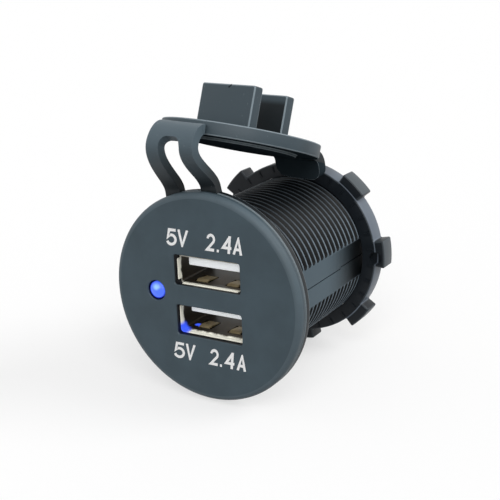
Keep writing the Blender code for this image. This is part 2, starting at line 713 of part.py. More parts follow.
def build_insulator(level, middle_z):
    """Moulded block at the back of the shell, with the tongue that carries the contacts."""
    name = f"usb_tongue_{level}"
    block_width = PORT_WIDTH - 2 * FINE_GAP
    block_height = PORT_HEIGHT - 2 * FINE_GAP
    block = rounded_rectangle(block_width, block_height, PORT_CORNER_RADIUS, 2)
    place = shift(PORT_X, SHELL_BACK_Y - INSULATOR_BLOCK_LENGTH / 2, middle_z) @ FACING_FRONT
    insulator = flat_piece(name, [block], INSULATOR_BLOCK_LENGTH, place, WHITE_INSULATOR)
    underside = middle_z + TONGUE_UNDERSIDE
    length = SHELL_BACK_Y - INSULATOR_BLOCK_LENGTH / 2 - TONGUE_FRONT_Y
    outline = rounded_rectangle(TONGUE_WIDTH, TONGUE_THICKNESS, TONGUE_THICKNESS / 4, 2)
    place = shift(PORT_X, TONGUE_FRONT_Y + length / 2, underside + TONGUE_THICKNESS / 2)
    tongue = flat_piece(f"{name}_blade", [outline], length, place @ FACING_FRONT)
    combine(insulator, tongue, "UNION")
    for number, x in enumerate(CONTACT_PLACES, 1):
        low = contact_low(x, middle_z) - Vector((FINE_GAP, FINE_GAP, 2 * FINE_GAP))
        high = low + Vector((
            CONTACT_WIDTH + 2 * FINE_GAP,
            0.0,
            CONTACT_THICKNESS + 3 * FINE_GAP,
        ))
        high.y = SHELL_BACK_Y + CUT_MARGIN
        combine(insulator, box_between(f"{name}_groove_{number}", low, high))


def build_lamp():
    """Domed lamp behind its hole in the fascia, with two leads back to the board."""
    front = -LAMP_PROUD
    back = front + LAMP_LENGTH
    dome_back = front + LAMP_DOME_HEIGHT
    half_chord = LAMP_RADIUS
    dome_radius = (half_chord**2 + LAMP_DOME_HEIGHT**2) / (2 * LAMP_DOME_HEIGHT)
    spread = math.asin(half_chord / dome_radius)
    dome = arc((0.0, front + dome_radius), dome_radius, spread - math.pi / 2, -math.pi / 2, 5)
    profile = [
        (0.0, back),
        (LAMP_RIM_RADIUS, back),
        (LAMP_RIM_RADIUS, back - LAMP_RIM_LENGTH),
        (LAMP_RADIUS, back - LAMP_RIM_LENGTH),
        (LAMP_RADIUS, dome_back),
        *dome[1:-1],
        (0.0, front),
    ]
    place = shift(LAMP_X, 0.0, LAMP_Z) @ ALONG_BARREL
    lamp = turned("status_lamp", profile, place, BLUE_LENS, SMALL_ROUND)
    round_faces(lamp.data)
    for hand, name in ((1, "lamp_lead_upper"), (-1, "lamp_lead_lower")):
        curve = bpy.data.curves.new(name, "CURVE")
        curve.dimensions = "3D"
        curve.bevel_depth = LEAD_RADIUS
        curve.bevel_resolution = 2
        curve.use_fill_caps = True
        spline = curve.splines.new("POLY")
        spline.points.add(1)
        spline.points[0].co = (0.0, back + FINE_GAP, 0.0, 1.0)
        spline.points[1].co = (0.0, USB_BOARD_BACK_Y + TAIL_LENGTH, 0.0, 1.0)
        curve.materials.append(TINNED_WIRE)
        lead = bpy.data.objects.new(name, curve)
        PARTS.objects.link(lead)
        hang(lead, shift(LAMP_X, 0.0, LAMP_Z + hand * LEAD_SPACING / 2))


def build_boards():
    """Upright board behind the receptacles and the power board along the axis."""
    middle_y = USB_BOARD_FRONT_Y + BOARD_THICKNESS / 2
    holes = [circle(USB_BOARD_RADIUS, MEDIUM_ROUND)]
    for middle_z in PORT_HEIGHTS.values():
        for x in CONTACT_PLACES:
            low = contact_low(x, middle_z)
            left = low.x - FINE_GAP
            right = low.x + CONTACT_WIDTH + FINE_GAP
            bottom = low.z - FINE_GAP
            top = low.z + CONTACT_THICKNESS + FINE_GAP
            holes.append([(left, bottom), (right, bottom), (right, top), (left, top)])
    for hand in (-1, 1):
        centre = (LAMP_X, LAMP_Z + hand * LEAD_SPACING / 2)
        holes.append(circle(LEAD_RADIUS + FINE_GAP, SMALL_ROUND, centre))
    place = shift(0.0, middle_y, 0.0) @ FACING_FRONT
    flat_piece("usb_board", holes, BOARD_THICKNESS, place, BOARD_LAMINATE)
    size = (POWER_BOARD_WIDTH, POWER_BOARD_LENGTH, BOARD_THICKNESS)
    centre = (0.0, POWER_BOARD_FRONT_Y + POWER_BOARD_LENGTH / 2, 0.0)
    box("power_board", size, centre, BOARD_LAMINATE)
    seat_z = BOARD_TOP_Z + FINE_GAP
    centre = (0.0, POWER_BOARD_FRONT_Y + HEADER_SIZE.y / 2, seat_z + HEADER_SIZE.z / 2)
    box("board_header", HEADER_SIZE, centre, BLACK_RESIN)
    build_inductor(seat_z)
    build_capacitor(
        "output_capacitor",
        OUTPUT_CAPACITOR_RADIUS,
        OUTPUT_CAPACITOR_HEIGHT,
        shift(OUTPUT_CAPACITOR_X, OUTPUT_CAPACITOR_Y, -seat_z) @ UPSIDE_DOWN,
    )
    build_capacitor(
        "input_capacitor",
        INPUT_CAPACITOR_RADIUS,
        INPUT_CAPACITOR_HEIGHT,
        shift(INPUT_CAPACITOR_X, INPUT_CAPACITOR_Y, seat_z),
    )
    for name, size, x, y in (
        ("controller_chip", CHIP_SIZE, CHIP_X, CHIP_Y),
        ("rectifier_diode", DIODE_SIZE, DIODE_X, DIODE_Y),
    ):
        package = box(name, size, (x, y, -seat_z - size.z / 2), BLACK_RESIN)
        soften(package, PACKAGE_BEVEL, 1)


def build_inductor(seat_z):
    """Ferrite drum with its winding between the flanges."""
    top = CORE_HEIGHT - CORE_FLANGE
    drum = [
        (0.0, CORE_HEIGHT),
        (CORE_RADIUS, CORE_HEIGHT),
        (CORE_RADIUS, top),
        (CORE_NECK_RADIUS, top),
        (CORE_NECK_RADIUS, CORE_FLANGE),
        (CORE_RADIUS, CORE_FLANGE),
        (CORE_RADIUS, 0.0),
        (0.0, 0.0),
    ]
    winding = [
        (CORE_NECK_RADIUS + FINE_GAP, top - FINE_GAP),
        (COIL_RADIUS, top - FINE_GAP),
        (COIL_RADIUS, CORE_FLANGE + FINE_GAP),
        (CORE_NECK_RADIUS + FINE_GAP, CORE_FLANGE + FINE_GAP),
    ]
    place = shift(CORE_X, CORE_Y, seat_z)
    turned("inductor_core", drum, place, FERRITE, MEDIUM_ROUND)
    turned("inductor_coil", winding, place, COPPER_COIL, MEDIUM_ROUND)


def build_capacitor(name, radius, height, place):
    """Can with a rounded top and a crimped groove above its base."""
    edge = CAN_EDGE_RADIUS
    profile = [
        (0.0, height),
        *quarter_arc((radius - edge, height - edge), edge, 90),
        (radius, CRIMP_HEIGHT + CRIMP_DEPTH),
        (radius - CRIMP_DEPTH, CRIMP_HEIGHT),
        (radius, CRIMP_HEIGHT - CRIMP_DEPTH),
        (radius, 0.0),
        (0.0, 0.0),
    ]
    can = turned(name, profile, place, CAN_ALUMINIUM, MEDIUM_ROUND)
    round_faces(can.data)


def blade_x(hand):
    """Middle of the blade terminal on one side."""
    return hand * BLADE_SPACING / 2


def build_rear():
    """Rear cap with a spigot inside the barrel, and the two blade terminals through it."""
    chamfer = REAR_CAP_CHAMFER
    spigot = BARREL_INNER_RADIUS - FIT_GAP
    profile = [
        (0.0, REAR_CAP_BACK_Y),
        (BARREL_RADIUS - chamfer, REAR_CAP_BACK_Y),
        (BARREL_RADIUS, REAR_CAP_BACK_Y - chamfer),
        (BARREL_RADIUS, REAR_CAP_FRONT_Y),
        (spigot, REAR_CAP_FRONT_Y),
        (spigot, SPIGOT_FRONT_Y),
        (0.0, SPIGOT_FRONT_Y),
    ]
    cap = turned("rear_cap", profile, ALONG_BARREL, BARREL_PLASTIC, BORE_ROUND)
    slot = (
        BLADE_THICKNESS + 2 * FIT_GAP,
        REAR_CAP_BACK_Y - SPIGOT_FRONT_Y + 2 * CUT_MARGIN,
        BLADE_WIDTH + 2 * FIT_GAP,
    )
    slot_y = (REAR_CAP_BACK_Y + SPIGOT_FRONT_Y) / 2
    half = BLADE_WIDTH / 2
    outline = [
        (BLADE_FRONT_Y, -half),
        (BLADE_BACK_Y - BLADE_TIP, -half),
        (BLADE_BACK_Y, -half + BLADE_TIP),
        (BLADE_BACK_Y, half - BLADE_TIP),
        (BLADE_BACK_Y - BLADE_TIP, half),
        (BLADE_FRONT_Y, half),
    ]
    hole = circle(BLADE_HOLE_RADIUS, SMALL_ROUND, (BLADE_BACK_Y - BLADE_HOLE_FROM_TIP, 0.0))
    for hand, name in ((1, "positive_terminal"), (-1, "negative_terminal")):
        x = blade_x(hand)
        combine(cap, box(f"{name}_slot", slot, (x, slot_y, 0.0)))
        place = shift(x) @ FACING_SIDE
        flat_piece(name, [outline, hole], BLADE_THICKNESS, place, TERMINAL_BRASS)
    round_faces(cap.data)


def cap_open_pose():
    """World matrix of the open cap: local Z points out of its plug face."""
    normal = Vector((
        math.sin(CAP_LEAN),
        math.sin(CAP_TILT) * math.cos(CAP_LEAN),
        math.cos(CAP_TILT) * math.cos(CAP_LEAN),
    ))
    level = (Vector((1.0, 0.0, 0.0)) - normal * normal.x).normalized()
    back = normal.cross(level)
    across = math.cos(CAP_YAW) * level + math.sin(CAP_YAW) * back
    return pose(across, normal.cross(across), normal, CAP_OPEN_PLACE)


def cap_closed_pose():
    """World matrix of the closed cap, with its plates in the space under each tongue."""
    gap_middle_z = PORT_MIDDLE_Z + PLUG_SPACE_OFFSET_Z
    place = Vector((PORT_X, -CAP_CLOSED_GAP, gap_middle_z + PLATE_MIDDLE_Y))
    return pose(Vector((1, 0, 0)), Vector((0, 0, -1)), Vector((0, 1, 0)), place)


def pose(x_axis, y_axis, z_axis, place):
    """Matrix from three axes and an origin."""
    matrix = Matrix((x_axis, y_axis, z_axis)).transposed().to_4x4()
    matrix.translation = place
    return matrix


def axis_pose(axis, place):
    """Matrix whose local X lies on an axis."""
    return Matrix.Translation(place) @ axis.to_track_quat("X", "Z").to_matrix().to_4x4()


def cover_hinges():
    """Find the two hinge poses that fold the open cap exactly onto the face.

    The cap's own hinge stands at FOLD_PLACE. The straps' hinge lies in the plane that is
    as far from the fold's open place as from its closed place, and turns about the line
    there that has no part along the barrel.
    """
    move = cap_closed_pose() @ cap_open_pose().inverted()
    closed_fold = move @ FOLD_PLACE
    chord = closed_fold - FOLD_PLACE
    middle = (closed_fold + FOLD_PLACE) / 2
    short = (BEND_X - middle.x) * chord.x + (BEND_Y - middle.y) * chord.y
    bend_place = Vector((BEND_X, BEND_Y, middle.z - short / chord.z))
    bend_axis = Vector((-chord.z, 0.0, chord.x)).normalized()
    if bend_axis.x < 0:
        bend_axis.negate()
    arms = [spot - bend_place for spot in (FOLD_PLACE, closed_fold)]
    start, end = [arm - bend_axis * arm.dot(bend_axis) for arm in arms]
    bend_angle = math.atan2(start.cross(end).dot(bend_axis), start.dot(end))
    swing = Matrix.Rotation(bend_angle, 3, bend_axis)
    rest = swing.transposed() @ move.to_3x3()
    fold_axis, fold_angle = rest.to_quaternion().to_axis_angle()
    if fold_axis.x < 0:
        fold_axis.negate()
        fold_angle = -fold_angle
    return (bend_place, bend_axis, bend_angle), (FOLD_PLACE, fold_axis, fold_angle)


class Route:
    """Smooth line measured along its length, with a width direction that turns on the way."""

    def __init__(self, spans, width_start, width_end):
        """Join Bezier spans, each of two ends and two handles, into one line."""
        self.points = []
        for span in spans:
            stretch = interpolate_bezier(*span, 60)
            self.points += stretch if not self.points else stretch[1:]
        self.lengths = [0.0]
        for first, second in zip(self.points, self.points[1:]):
            self.lengths.append(self.lengths[-1] + (second - first).length)
        self.width_start = width_start
        self.width_end = width_end

    @property
    def length(self):
        """Length of the whole line."""
        return self.lengths[-1]

    def place(self, across, along):
        """Point at a distance along the line and to one side of it."""
        last = len(self.points) - 2
        index = 0
        while index < last and self.lengths[index + 1] < along:
            index += 1
        start = self.points[index]
        end = self.points[index + 1]
        share = (along - self.lengths[index]) / (self.lengths[index + 1] - self.lengths[index])
        turn = min(max(along / self.length, 0.0), 1.0)
        turn = turn * turn * (3 - 2 * turn)
        width = self.width_start.lerp(self.width_end, turn).normalized()
        return start + (end - start) * share + width * across


def bent_sheet(name, outline, route, step, thickness, edge, material=None, parent=None):
    """Cut a flat sheet to an outline, bend it along a route and give it its thickness."""
    work = bmesh.new()
    work.faces.new([work.verts.new((across, along, 0.0)) for across, along in outline])
    lowest = min(along for across, along in outline)
    highest = max(along for across, along in outline)
    rows = round((highest - lowest) / step)
    for row in range(1, rows):
        geometry = work.verts[:] + work.edges[:] + work.faces[:]
        height = lowest + (highest - lowest) * row / rows
        bmesh.ops.bisect_plane(
            work,
            geom=geometry,
            dist=MERGE_DISTANCE / 10,
            plane_co=(0.0, height, 0.0),
            plane_no=(0.0, 1.0, 0.0),
        )
    for vert in work.verts:
        vert.co = route.place(vert.co.x, vert.co.y)
    sheet = add_object(name, finish_mesh(name, work), material)
    matrix = Matrix.Identity(4)
    if parent is not None:
        bpy.context.view_layer.update()
        sheet.data.transform(parent.matrix_world.inverted())
        matrix = parent.matrix_world.copy()
    hang(sheet, matrix, parent)
    wall = sheet.modifiers.new("wall", "SOLIDIFY")
    wall.thickness = thickness
    wall.offset = 0.0
    wall.use_even_offset = True
    soften(sheet, edge, 2, 50.0)
    return sheet


def strap_route():
    """Centre line of the strap pair: up from the ring, forward in an S, and back to the cap."""
    radial = Vector((-math.sin(RING_TURN), 0.0, math.cos(RING_TURN)))
    tangent = Vector((math.cos(RING_TURN), 0.0, math.sin(RING_TURN)))
    root_y = (RING_FRONT_Y + RING_BACK_Y) / 2
    root = radial * (FLANGE_RADIUS + COVER_GAP) + Vector((0.0, root_y, 0.0))
    cap = cap_open_pose()
    cap_across = cap.col[0].to_3d()
    cap_back = cap.col[1].to_3d()
    rim = cap @ Vector((0.0, -CAP_RADIUS - COVER_GAP, STRAP_THICKNESS / 2 - CAP_THICKNESS))
    front = Vector(((root.x + rim.x) / 2, STRAP_FRONT_Y, STRAP_FRONT_Z))
    up = Vector((0.0, 0.0, 1.0))
    lower = (root, root + radial * STRAP_LOWER_PULL, front - up * STRAP_MIDDLE_PULL, front)
    upper = (front, front + up * STRAP_UPPER_PULL, rim - cap_back * STRAP_UPPER_PULL, rim)
    return Route((lower, upper), tangent, cap_across)


def strap_outline(length):
    """Two straps and their web, flat: ends shaped to the ring below and the cap above."""
    half = STRAP_PAIR_HALF_WIDTH
    slot = SLOT_HALF_WIDTH
    wide = (STRAP_ROOT_WIDTH - STRAP_WIDTH) / 2
    ring = FLANGE_RADIUS + COVER_GAP
    cap = CAP_RADIUS + COVER_GAP
    shoulder = STRAP_SHOULDER_RADIUS
    end = SLOT_END_RADIUS
    slot_top = length - WEB_LENGTH

    def sunk(radius, across):
        """How far a circle falls away beside the centre line."""
        return radius - math.sqrt(radius**2 - across**2)

    def root_edge(start, stop):
        """Points along the ring, from one side of a strap to the other."""
        spots = [start + (stop - start) * step / 3 for step in range(4)]
        return [(across, -sunk(ring, across)) for across in spots]

    cap_reach = half - shoulder
    cap_spots = [cap_reach - 2 * cap_reach * step / 8 for step in range(9)]
    shoulder_y = length + sunk(cap, cap_reach) - shoulder
    right_shoulder = quarter_arc((cap_reach, shoulder_y), shoulder, 0, 1)
    left_shoulder = quarter_arc((-cap_reach, shoulder_y), shoulder, 90, 1)
    slot_left = quarter_arc((-slot + end, slot_top - end), end, 180, -1)
    slot_right = quarter_arc((slot - end, slot_top - end), end, 90, -1)
    return [
        *root_edge(slot - wide, half + wide),
        (half, STRAP_ROOT_FLARE),
        *right_shoulder[:-1],
        *[(across, length + sunk(cap, across)) for across in cap_spots],
        *left_shoulder[1:],
        (-half, STRAP_ROOT_FLARE),
        *root_edge(-half - wide, -slot + wide),
        (-slot, STRAP_ROOT_FLARE),
        *slot_left,
        *slot_right,
        (slot, STRAP_ROOT_FLARE),
    ]


def build_cover_ring():
    """Rubber ring between the flange and the panel, round the barrel."""
    edge = RING_EDGE_RADIUS
    inner = BARREL_RADIUS + FIT_GAP
    profile = [
        (inner, RING_BACK_Y),
        *quarter_arc((FLANGE_RADIUS - edge, RING_BACK_Y - edge), edge, 90, -1, SOFT_EDGE_STEPS),
        *quarter_arc((FLANGE_RADIUS - edge, RING_FRONT_Y + edge), edge, 0, -1, SOFT_EDGE_STEPS),
        (inner, RING_FRONT_Y),
    ]
    ring = turned("cover_ring", profile, ALONG_BARREL, RUBBER)
    round_faces(ring.data)


def build_cap(parent):
    """Rubber disc with two plug plates on one face and a bent pull tab at its far edge."""
    edge = CAP_EDGE_RADIUS
    profile = [
        (0.0, 0.0),
        *quarter_arc((CAP_RADIUS - edge, -edge), edge, 90, -1, SOFT_EDGE_STEPS),
        *quarter_arc((CAP_RADIUS - edge, edge - CAP_THICKNESS), edge, 0, -1, SOFT_EDGE_STEPS),
        (0.0, -CAP_THICKNESS),
    ]
    place = cap_open_pose()
    cap = turned("cover_cap", profile, place, RUBBER, LARGE_ROUND, parent)
    corner = PLATE_CORNER_RADIUS
    half = PLATE_WIDTH / 2
    plate = [
        (-half, -PLATE_ROOT),
        (half, -PLATE_ROOT),
        *quarter_arc((half - corner, PLATE_HEIGHT - corner), corner, 0, 1),
        *quarter_arc((corner - half, PLATE_HEIGHT - corner), corner, 90, 1),
    ]
    for hand, name in ((-1, "plate_front"), (1, "plate_back")):
        stand = place @ shift(0.0, PLATE_MIDDLE_Y + hand * PORT_PITCH / 2) @ FACING_FRONT
        blade = flat_piece(name, [plate], PLATE_THICKNESS, stand, None, cap)
        soften(blade, PLATE_EDGE_BEVEL, 2)
        combine(cap, blade, "UNION")
    combine(cap, build_tab(place), "UNION")
    round_faces(cap.data)


def build_tab(place):
    """Pull tab: a short tongue that leaves the disc's edge and turns down."""
    middle = -CAP_THICKNESS / 2
    start = Vector((TAB_X, CAP_RADIUS - TAB_ROOT, middle))
    bend = Vector((TAB_X, CAP_RADIUS, middle))
    rise = TAB_BEND_RADIUS * math.tan(TAB_BEND_ANGLE / 2)
    knee = bend + Vector((0.0, rise, 0.0))
    down = Vector((0.0, math.cos(TAB_BEND_ANGLE), -math.sin(TAB_BEND_ANGLE)))
    tip = knee + down * rise
    spans = [
        (start, start.lerp(bend, 1 / 3), start.lerp(bend, 2 / 3), bend),
        (bend, bend.lerp(knee, 2 / 3), tip.lerp(knee, 2 / 3), tip),
    ]
    spans = [[place @ point for point in span] for span in spans]
    across = place.col[0].to_3d()
    route = Route(spans, across, across)
    half = TAB_WIDTH / 2
    corner = TAB_CORNER_RADIUS
    total = TAB_ROOT + TAB_LENGTH
    outline = [
        (-half, 0.0),
        (half, 0.0),
        *quarter_arc((half - corner, total - corner), corner, 0, 1),
        *quarter_arc((corner - half, total - corner), corner, 90, 1),
    ]
    return bent_sheet("pull_tab", outline, route, TAB_STEP, TAB_THICKNESS, CAP_EDGE_RADIUS)


def build_cover():
    """Ring, straps and cap of the flip cover, the straps and cap hung on their hinges."""
    build_cover_ring()
    bend, fold = cover_hinges()
    bend_hinge = add_empty("strap_bend_hinge", axis_pose(bend[1], bend[0]))
    fold_hinge = add_empty("cap_fold_hinge", axis_pose(fold[1], fold[0]), bend_hinge)
    bend_hinge["closing_angle"] = bend[2]
    fold_hinge["closing_angle"] = fold[2]
    route = strap_route()
    outline = strap_outline(route.length)
    bent_sheet(
        "cover_straps",
        outline,
        route,
        STRAP_STEP,
        STRAP_THICKNESS,
        STRAP_EDGE_BEVEL,
        RUBBER,
        bend_hinge,
    )
    build_cap(fold_hinge)


def build_socket():
    """Build every piece of the socket."""
    build_fascia()
    build_barrel()
    build_nut()
    for level, middle_z in PORT_HEIGHTS.items():
        build_port(level, middle_z)
    build_lamp()
    build_boards()
    build_rear()
    build_cover()


build_socket()
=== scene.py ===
"""Looks of a round panel-mount twin USB charging socket with a flip-open rubber cover.

The frame gives each sub-part at its real size and place, in metres: the fascia's front
plane is y = 0, the barrel runs back along +Y, +X is to the right as seen from the front
and +Z is up. The classes here build the visible meshes over that frame and dress them.
"""

import json
import logging
import math
from dataclasses import dataclass, field
from enum import Enum
from typing import Any, Callable, Sequence

import bmesh
import bpy
from bmesh.types import BMEdge, BMFace, BMVert
from mathutils import Matrix, Vector
from mathutils.geometry import interpolate_bezier
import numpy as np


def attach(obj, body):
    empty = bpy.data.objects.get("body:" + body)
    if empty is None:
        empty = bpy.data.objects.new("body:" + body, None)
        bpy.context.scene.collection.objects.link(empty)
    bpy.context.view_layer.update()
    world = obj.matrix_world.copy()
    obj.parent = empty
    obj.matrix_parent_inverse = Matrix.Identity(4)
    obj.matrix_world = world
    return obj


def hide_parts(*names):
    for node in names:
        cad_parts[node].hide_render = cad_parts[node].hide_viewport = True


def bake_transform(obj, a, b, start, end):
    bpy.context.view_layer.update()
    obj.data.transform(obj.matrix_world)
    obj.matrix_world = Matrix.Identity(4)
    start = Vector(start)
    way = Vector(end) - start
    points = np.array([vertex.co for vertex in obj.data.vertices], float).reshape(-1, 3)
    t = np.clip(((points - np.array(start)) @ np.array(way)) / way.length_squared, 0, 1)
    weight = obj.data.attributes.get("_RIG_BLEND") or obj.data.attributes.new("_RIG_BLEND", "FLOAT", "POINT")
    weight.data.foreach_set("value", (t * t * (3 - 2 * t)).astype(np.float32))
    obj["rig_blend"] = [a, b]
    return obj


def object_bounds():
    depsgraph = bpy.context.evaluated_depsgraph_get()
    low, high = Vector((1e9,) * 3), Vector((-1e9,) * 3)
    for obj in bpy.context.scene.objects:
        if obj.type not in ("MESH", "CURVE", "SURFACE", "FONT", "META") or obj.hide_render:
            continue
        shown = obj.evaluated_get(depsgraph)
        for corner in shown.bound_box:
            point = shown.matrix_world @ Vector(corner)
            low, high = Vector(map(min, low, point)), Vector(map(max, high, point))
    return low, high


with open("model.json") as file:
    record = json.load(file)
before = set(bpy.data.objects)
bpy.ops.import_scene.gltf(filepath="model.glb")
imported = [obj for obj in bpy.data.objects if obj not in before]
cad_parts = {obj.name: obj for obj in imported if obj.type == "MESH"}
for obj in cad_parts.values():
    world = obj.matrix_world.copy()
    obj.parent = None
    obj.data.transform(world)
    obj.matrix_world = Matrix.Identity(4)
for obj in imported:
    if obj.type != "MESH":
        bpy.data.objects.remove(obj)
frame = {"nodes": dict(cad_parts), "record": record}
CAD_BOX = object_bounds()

LOG = logging.getLogger("socket_looks")

Colour = Triple = tuple[float, float, float]
Point = tuple[float, float]

MERGE_DISTANCE = 0.000002
CREASE = 32.0
FULL_TURN = 2 * math.pi
HIGHLIT_EDGES = "rubbed"
BLACK = (0.0, 0.0, 0.0)
WHITE = (1.0, 1.0, 1.0)
LAMP_PLACE = (-0.00985, 0.00024)
LAMP_RADIUS = 0.00155
PORT_X = 0.0007
FACING_FRONT = Matrix.Rotation(math.radians(90), 4, "X")
CORNERS = ((-1, -1), (1, -1), (1, 1), (-1, 1))
SIDES = (-1, 1)
STILL = Vector((0.0, 0.0, 0.0))
UP = Vector((0.0, 0.0, 1.0))
BACK = Vector((0.0, 1.0, 0.0))


class Body(Enum):
    """Bodies of the frame that pieces ride on."""

    SOCKET = "socket"
    STRAPS = "straps"
    CAP = "cap"
    NUT = "nut"


class Level(Enum):
    """The two receptacles, with the height of each one's middle."""

    UPPER = 0.00445
    LOWER = -0.00405


class Half(Enum):
    """The two half shells of the barrel, with the side of the parting that each lies on."""

    UPPER = 1
    LOWER = -1


class Cut(Enum):
    """Ways to combine one closed form with another."""

    REMOVE = "DIFFERENCE"
    JOIN = "UNION"


def linear(red: int, green: int, blue: int) -> Colour:
    """Linear colour of an 8-bit display colour."""
    shares = (red / 255, green / 255, blue / 255)
    return tuple(s / 12.92 if s <= 0.04045 else ((s + 0.055) / 1.055) ** 2.4 for s in shares)


def scaled(colour: Colour, factor: float) -> Colour:
    """Colour made lighter or darker by a factor."""
    return tuple(min(channel * factor, 1.0) for channel in colour)


def operator(operation: str, swapped: bool = False) -> Callable[["Socket", Any], "Socket"]:
    """Method that stands for a Python operator by adding a Math node."""

    def method(self: "Socket", other: "Socket | float") -> "Socket":
        """Result of the node on this value and another."""
        return self.graph.maths(operation, *((other, self) if swapped else (self, other)))

    return method


class Socket:
    """A shader value that adds its own Math nodes when it stands in an expression."""

    def __init__(self, graph: "Graph", output: bpy.types.NodeSocket) -> None:
        """Wrap one output of a node in a graph."""
        self.graph = graph
        self.output = output

    def part(self, name: str) -> "Socket":
        """Another output of the same node."""
        return Socket(self.graph, self.output.node.outputs[name])

    def __abs__(self) -> "Socket":
        """Value without its sign."""
        return self.graph.maths("ABSOLUTE", self)

    __add__ = __radd__ = operator("ADD")
    __sub__, __rsub__ = operator("SUBTRACT"), operator("SUBTRACT", swapped=True)
    __mul__ = __rmul__ = operator("MULTIPLY")
    __truediv__ = operator("DIVIDE")
    __pow__ = operator("POWER")

    def sine(self) -> "Socket":
        """Sine of a value in radians."""
        return self.graph.maths("SINE", self)


class Graph:
    """Node tree of one material or of the world."""

    def __init__(self, tree: bpy.types.NodeTree) -> None:
        """Start from an empty tree."""
        self.tree = tree
        self.tree.nodes.clear()

    def node(
        self,
        kind: str,
        sockets: dict[str | int, Any] | None = None,
        output: str | int = 0,
        **settings: Any,
    ) -> Socket | None:
        """Add a node, set it up and link or fill its sockets.

        Args:
            kind: Type name of the node, after ShaderNode.
            sockets: Values or links of its inputs, by name or number.
            output: Name or number of the output to hand back.
            settings: Properties, set before the inputs.

        Returns:
            The chosen output, or None for a node that has no outputs.
        """
        node = self.tree.nodes.new(f"ShaderNode{kind}")
        for name, value in settings.items():
            setattr(node, name, value)
        for name, value in (sockets or {}).items():
            if isinstance(value, Socket):
                self.tree.links.new(value.output, node.inputs[name])
            elif isinstance(value, tuple) and node.inputs[name].type == "RGBA":
                node.inputs[name].default_value = (*value, 1.0)
            else:
                node.inputs[name].default_value = value
        return Socket(self, node.outputs[output]) if node.outputs else None

    def maths(self, operation: str, *operands: Socket | float) -> Socket:
        """Result of a Math node on its operands in order."""
        return self.node("Math", dict(enumerate(operands)), operation=operation)

    def mix(self, share: Socket | float, first: Any, second: Any) -> Socket:
        """Colour between two, by a share from 0 to 1."""
        sockets = {0: share, 6: first, 7: second}
        return self.node("Mix", sockets, 2, data_type="RGBA")

    def place(self) -> Socket:
        """Position on the piece."""
        return self.node("TexCoord", output="Object")

    def rubbed(self) -> Socket:
        """1 on the rounded edges of the piece, which take painted highlights, else 0."""
        return self.node("Attribute", output="Fac", attribute_name=HIGHLIT_EDGES)

    def vector_maths(
        self, operation: str, place: Socket, other: Sequence[float], output: str | int = 0
    ) -> Socket:
        """Result of a Vector Math node on a position and a fixed vector."""
        sockets = {0: place, 1: tuple(other)}
        return self.node("VectorMath", sockets, output, operation=operation)

    def stretched(self, place: Socket, scale: Sequence[float]) -> Socket:
        """Position scaled by its own factor along each axis."""
        return self.vector_maths("MULTIPLY", place, scale)

    def along(self, place: Socket, way: Sequence[float], start: float) -> Socket:
        """Distance of a position along a way, counted from a start."""
        return self.vector_maths("DOT_PRODUCT", place, way, "Value") - start

    def axes(self, place: Socket) -> tuple[Socket, Socket, Socket]:
        """X, Y and Z of a position."""
        split = self.node("SeparateXYZ", {0: place})
        return split, split.part("Y"), split.part("Z")

    def radius(self, place: Socket) -> Socket:
        """Distance of a position from the barrel's axis."""
        x, _, z = self.axes(place)
        return (x * x + z * z) ** 0.5

    def noise(self, place: Socket, size: float, detail: float = 3.0) -> Socket:
        """Soft random pattern, with features of about a size."""
        sockets = {"Vector": place, "Scale": 1 / size, "Detail": detail, "Roughness": 0.55}
        return self.node("TexNoise", sockets)

    def ease(self, value: Socket, low: float, high: float) -> Socket:
        """Smooth step from 0 at the low value to 1 at the high one."""
        sockets = {"Value": value, "From Min": low, "From Max": high}
        return self.node("MapRange", sockets, interpolation_type="SMOOTHSTEP")

    def fade(self, value: Socket, low: float, high: float) -> Socket:
        """Smooth step from 1 at the low value to 0 at the high one."""
        return 1 - self.ease(value, low, high)

    @staticmethod
    def between(pattern: Socket, low: float, high: float) -> Socket:
        """Value that follows a pattern from a low end to a high one."""
        return pattern * (high - low) + low

    @staticmethod
    def varied(base: float, *patterns: tuple[Socket, float]) -> Socket:
        """Value that strays from a base with patterns, each by its own amount in all."""
        for pattern, amount in patterns:
            base = base + (pattern - 0.5) * amount
        return base

    def mottled(self, pattern: Socket, colour: Colour, shades: Point) -> Socket:
        """Colour that drifts between a darker and a lighter shade of itself."""
        dark, light = (scaled(colour, shade) for shade in shades)
        return self.mix(self.ease(pattern, 0.3, 0.7), dark, light)

    def bump(self, height: Socket, depth: float) -> Socket:
        """Normal disturbed by a height pattern of a real depth."""
        return self.node("Bump", {"Height": height, "Distance": depth})


@dataclass(frozen=True)
class Finish:
    """A surface finish: its name, and how the light meets it."""

    name: str

    def sockets(self, graph: Graph) -> dict[str, Any]:
        """Values and links of the finish's shader sockets."""
        raise NotImplementedError

    def material(self) -> bpy.types.Material:
        """Build the finish as a material."""
        material = bpy.data.materials.new(self.name)
        material.use_nodes = True
        graph = Graph(material.node_tree)
        graph.node("OutputMaterial", {"Surface": self.shader(graph)})
        return material

    def shader(self, graph: Graph) -> Socket:
        """The finish's surface shader."""
        return graph.node("BsdfPrincipled", self.sockets(graph))


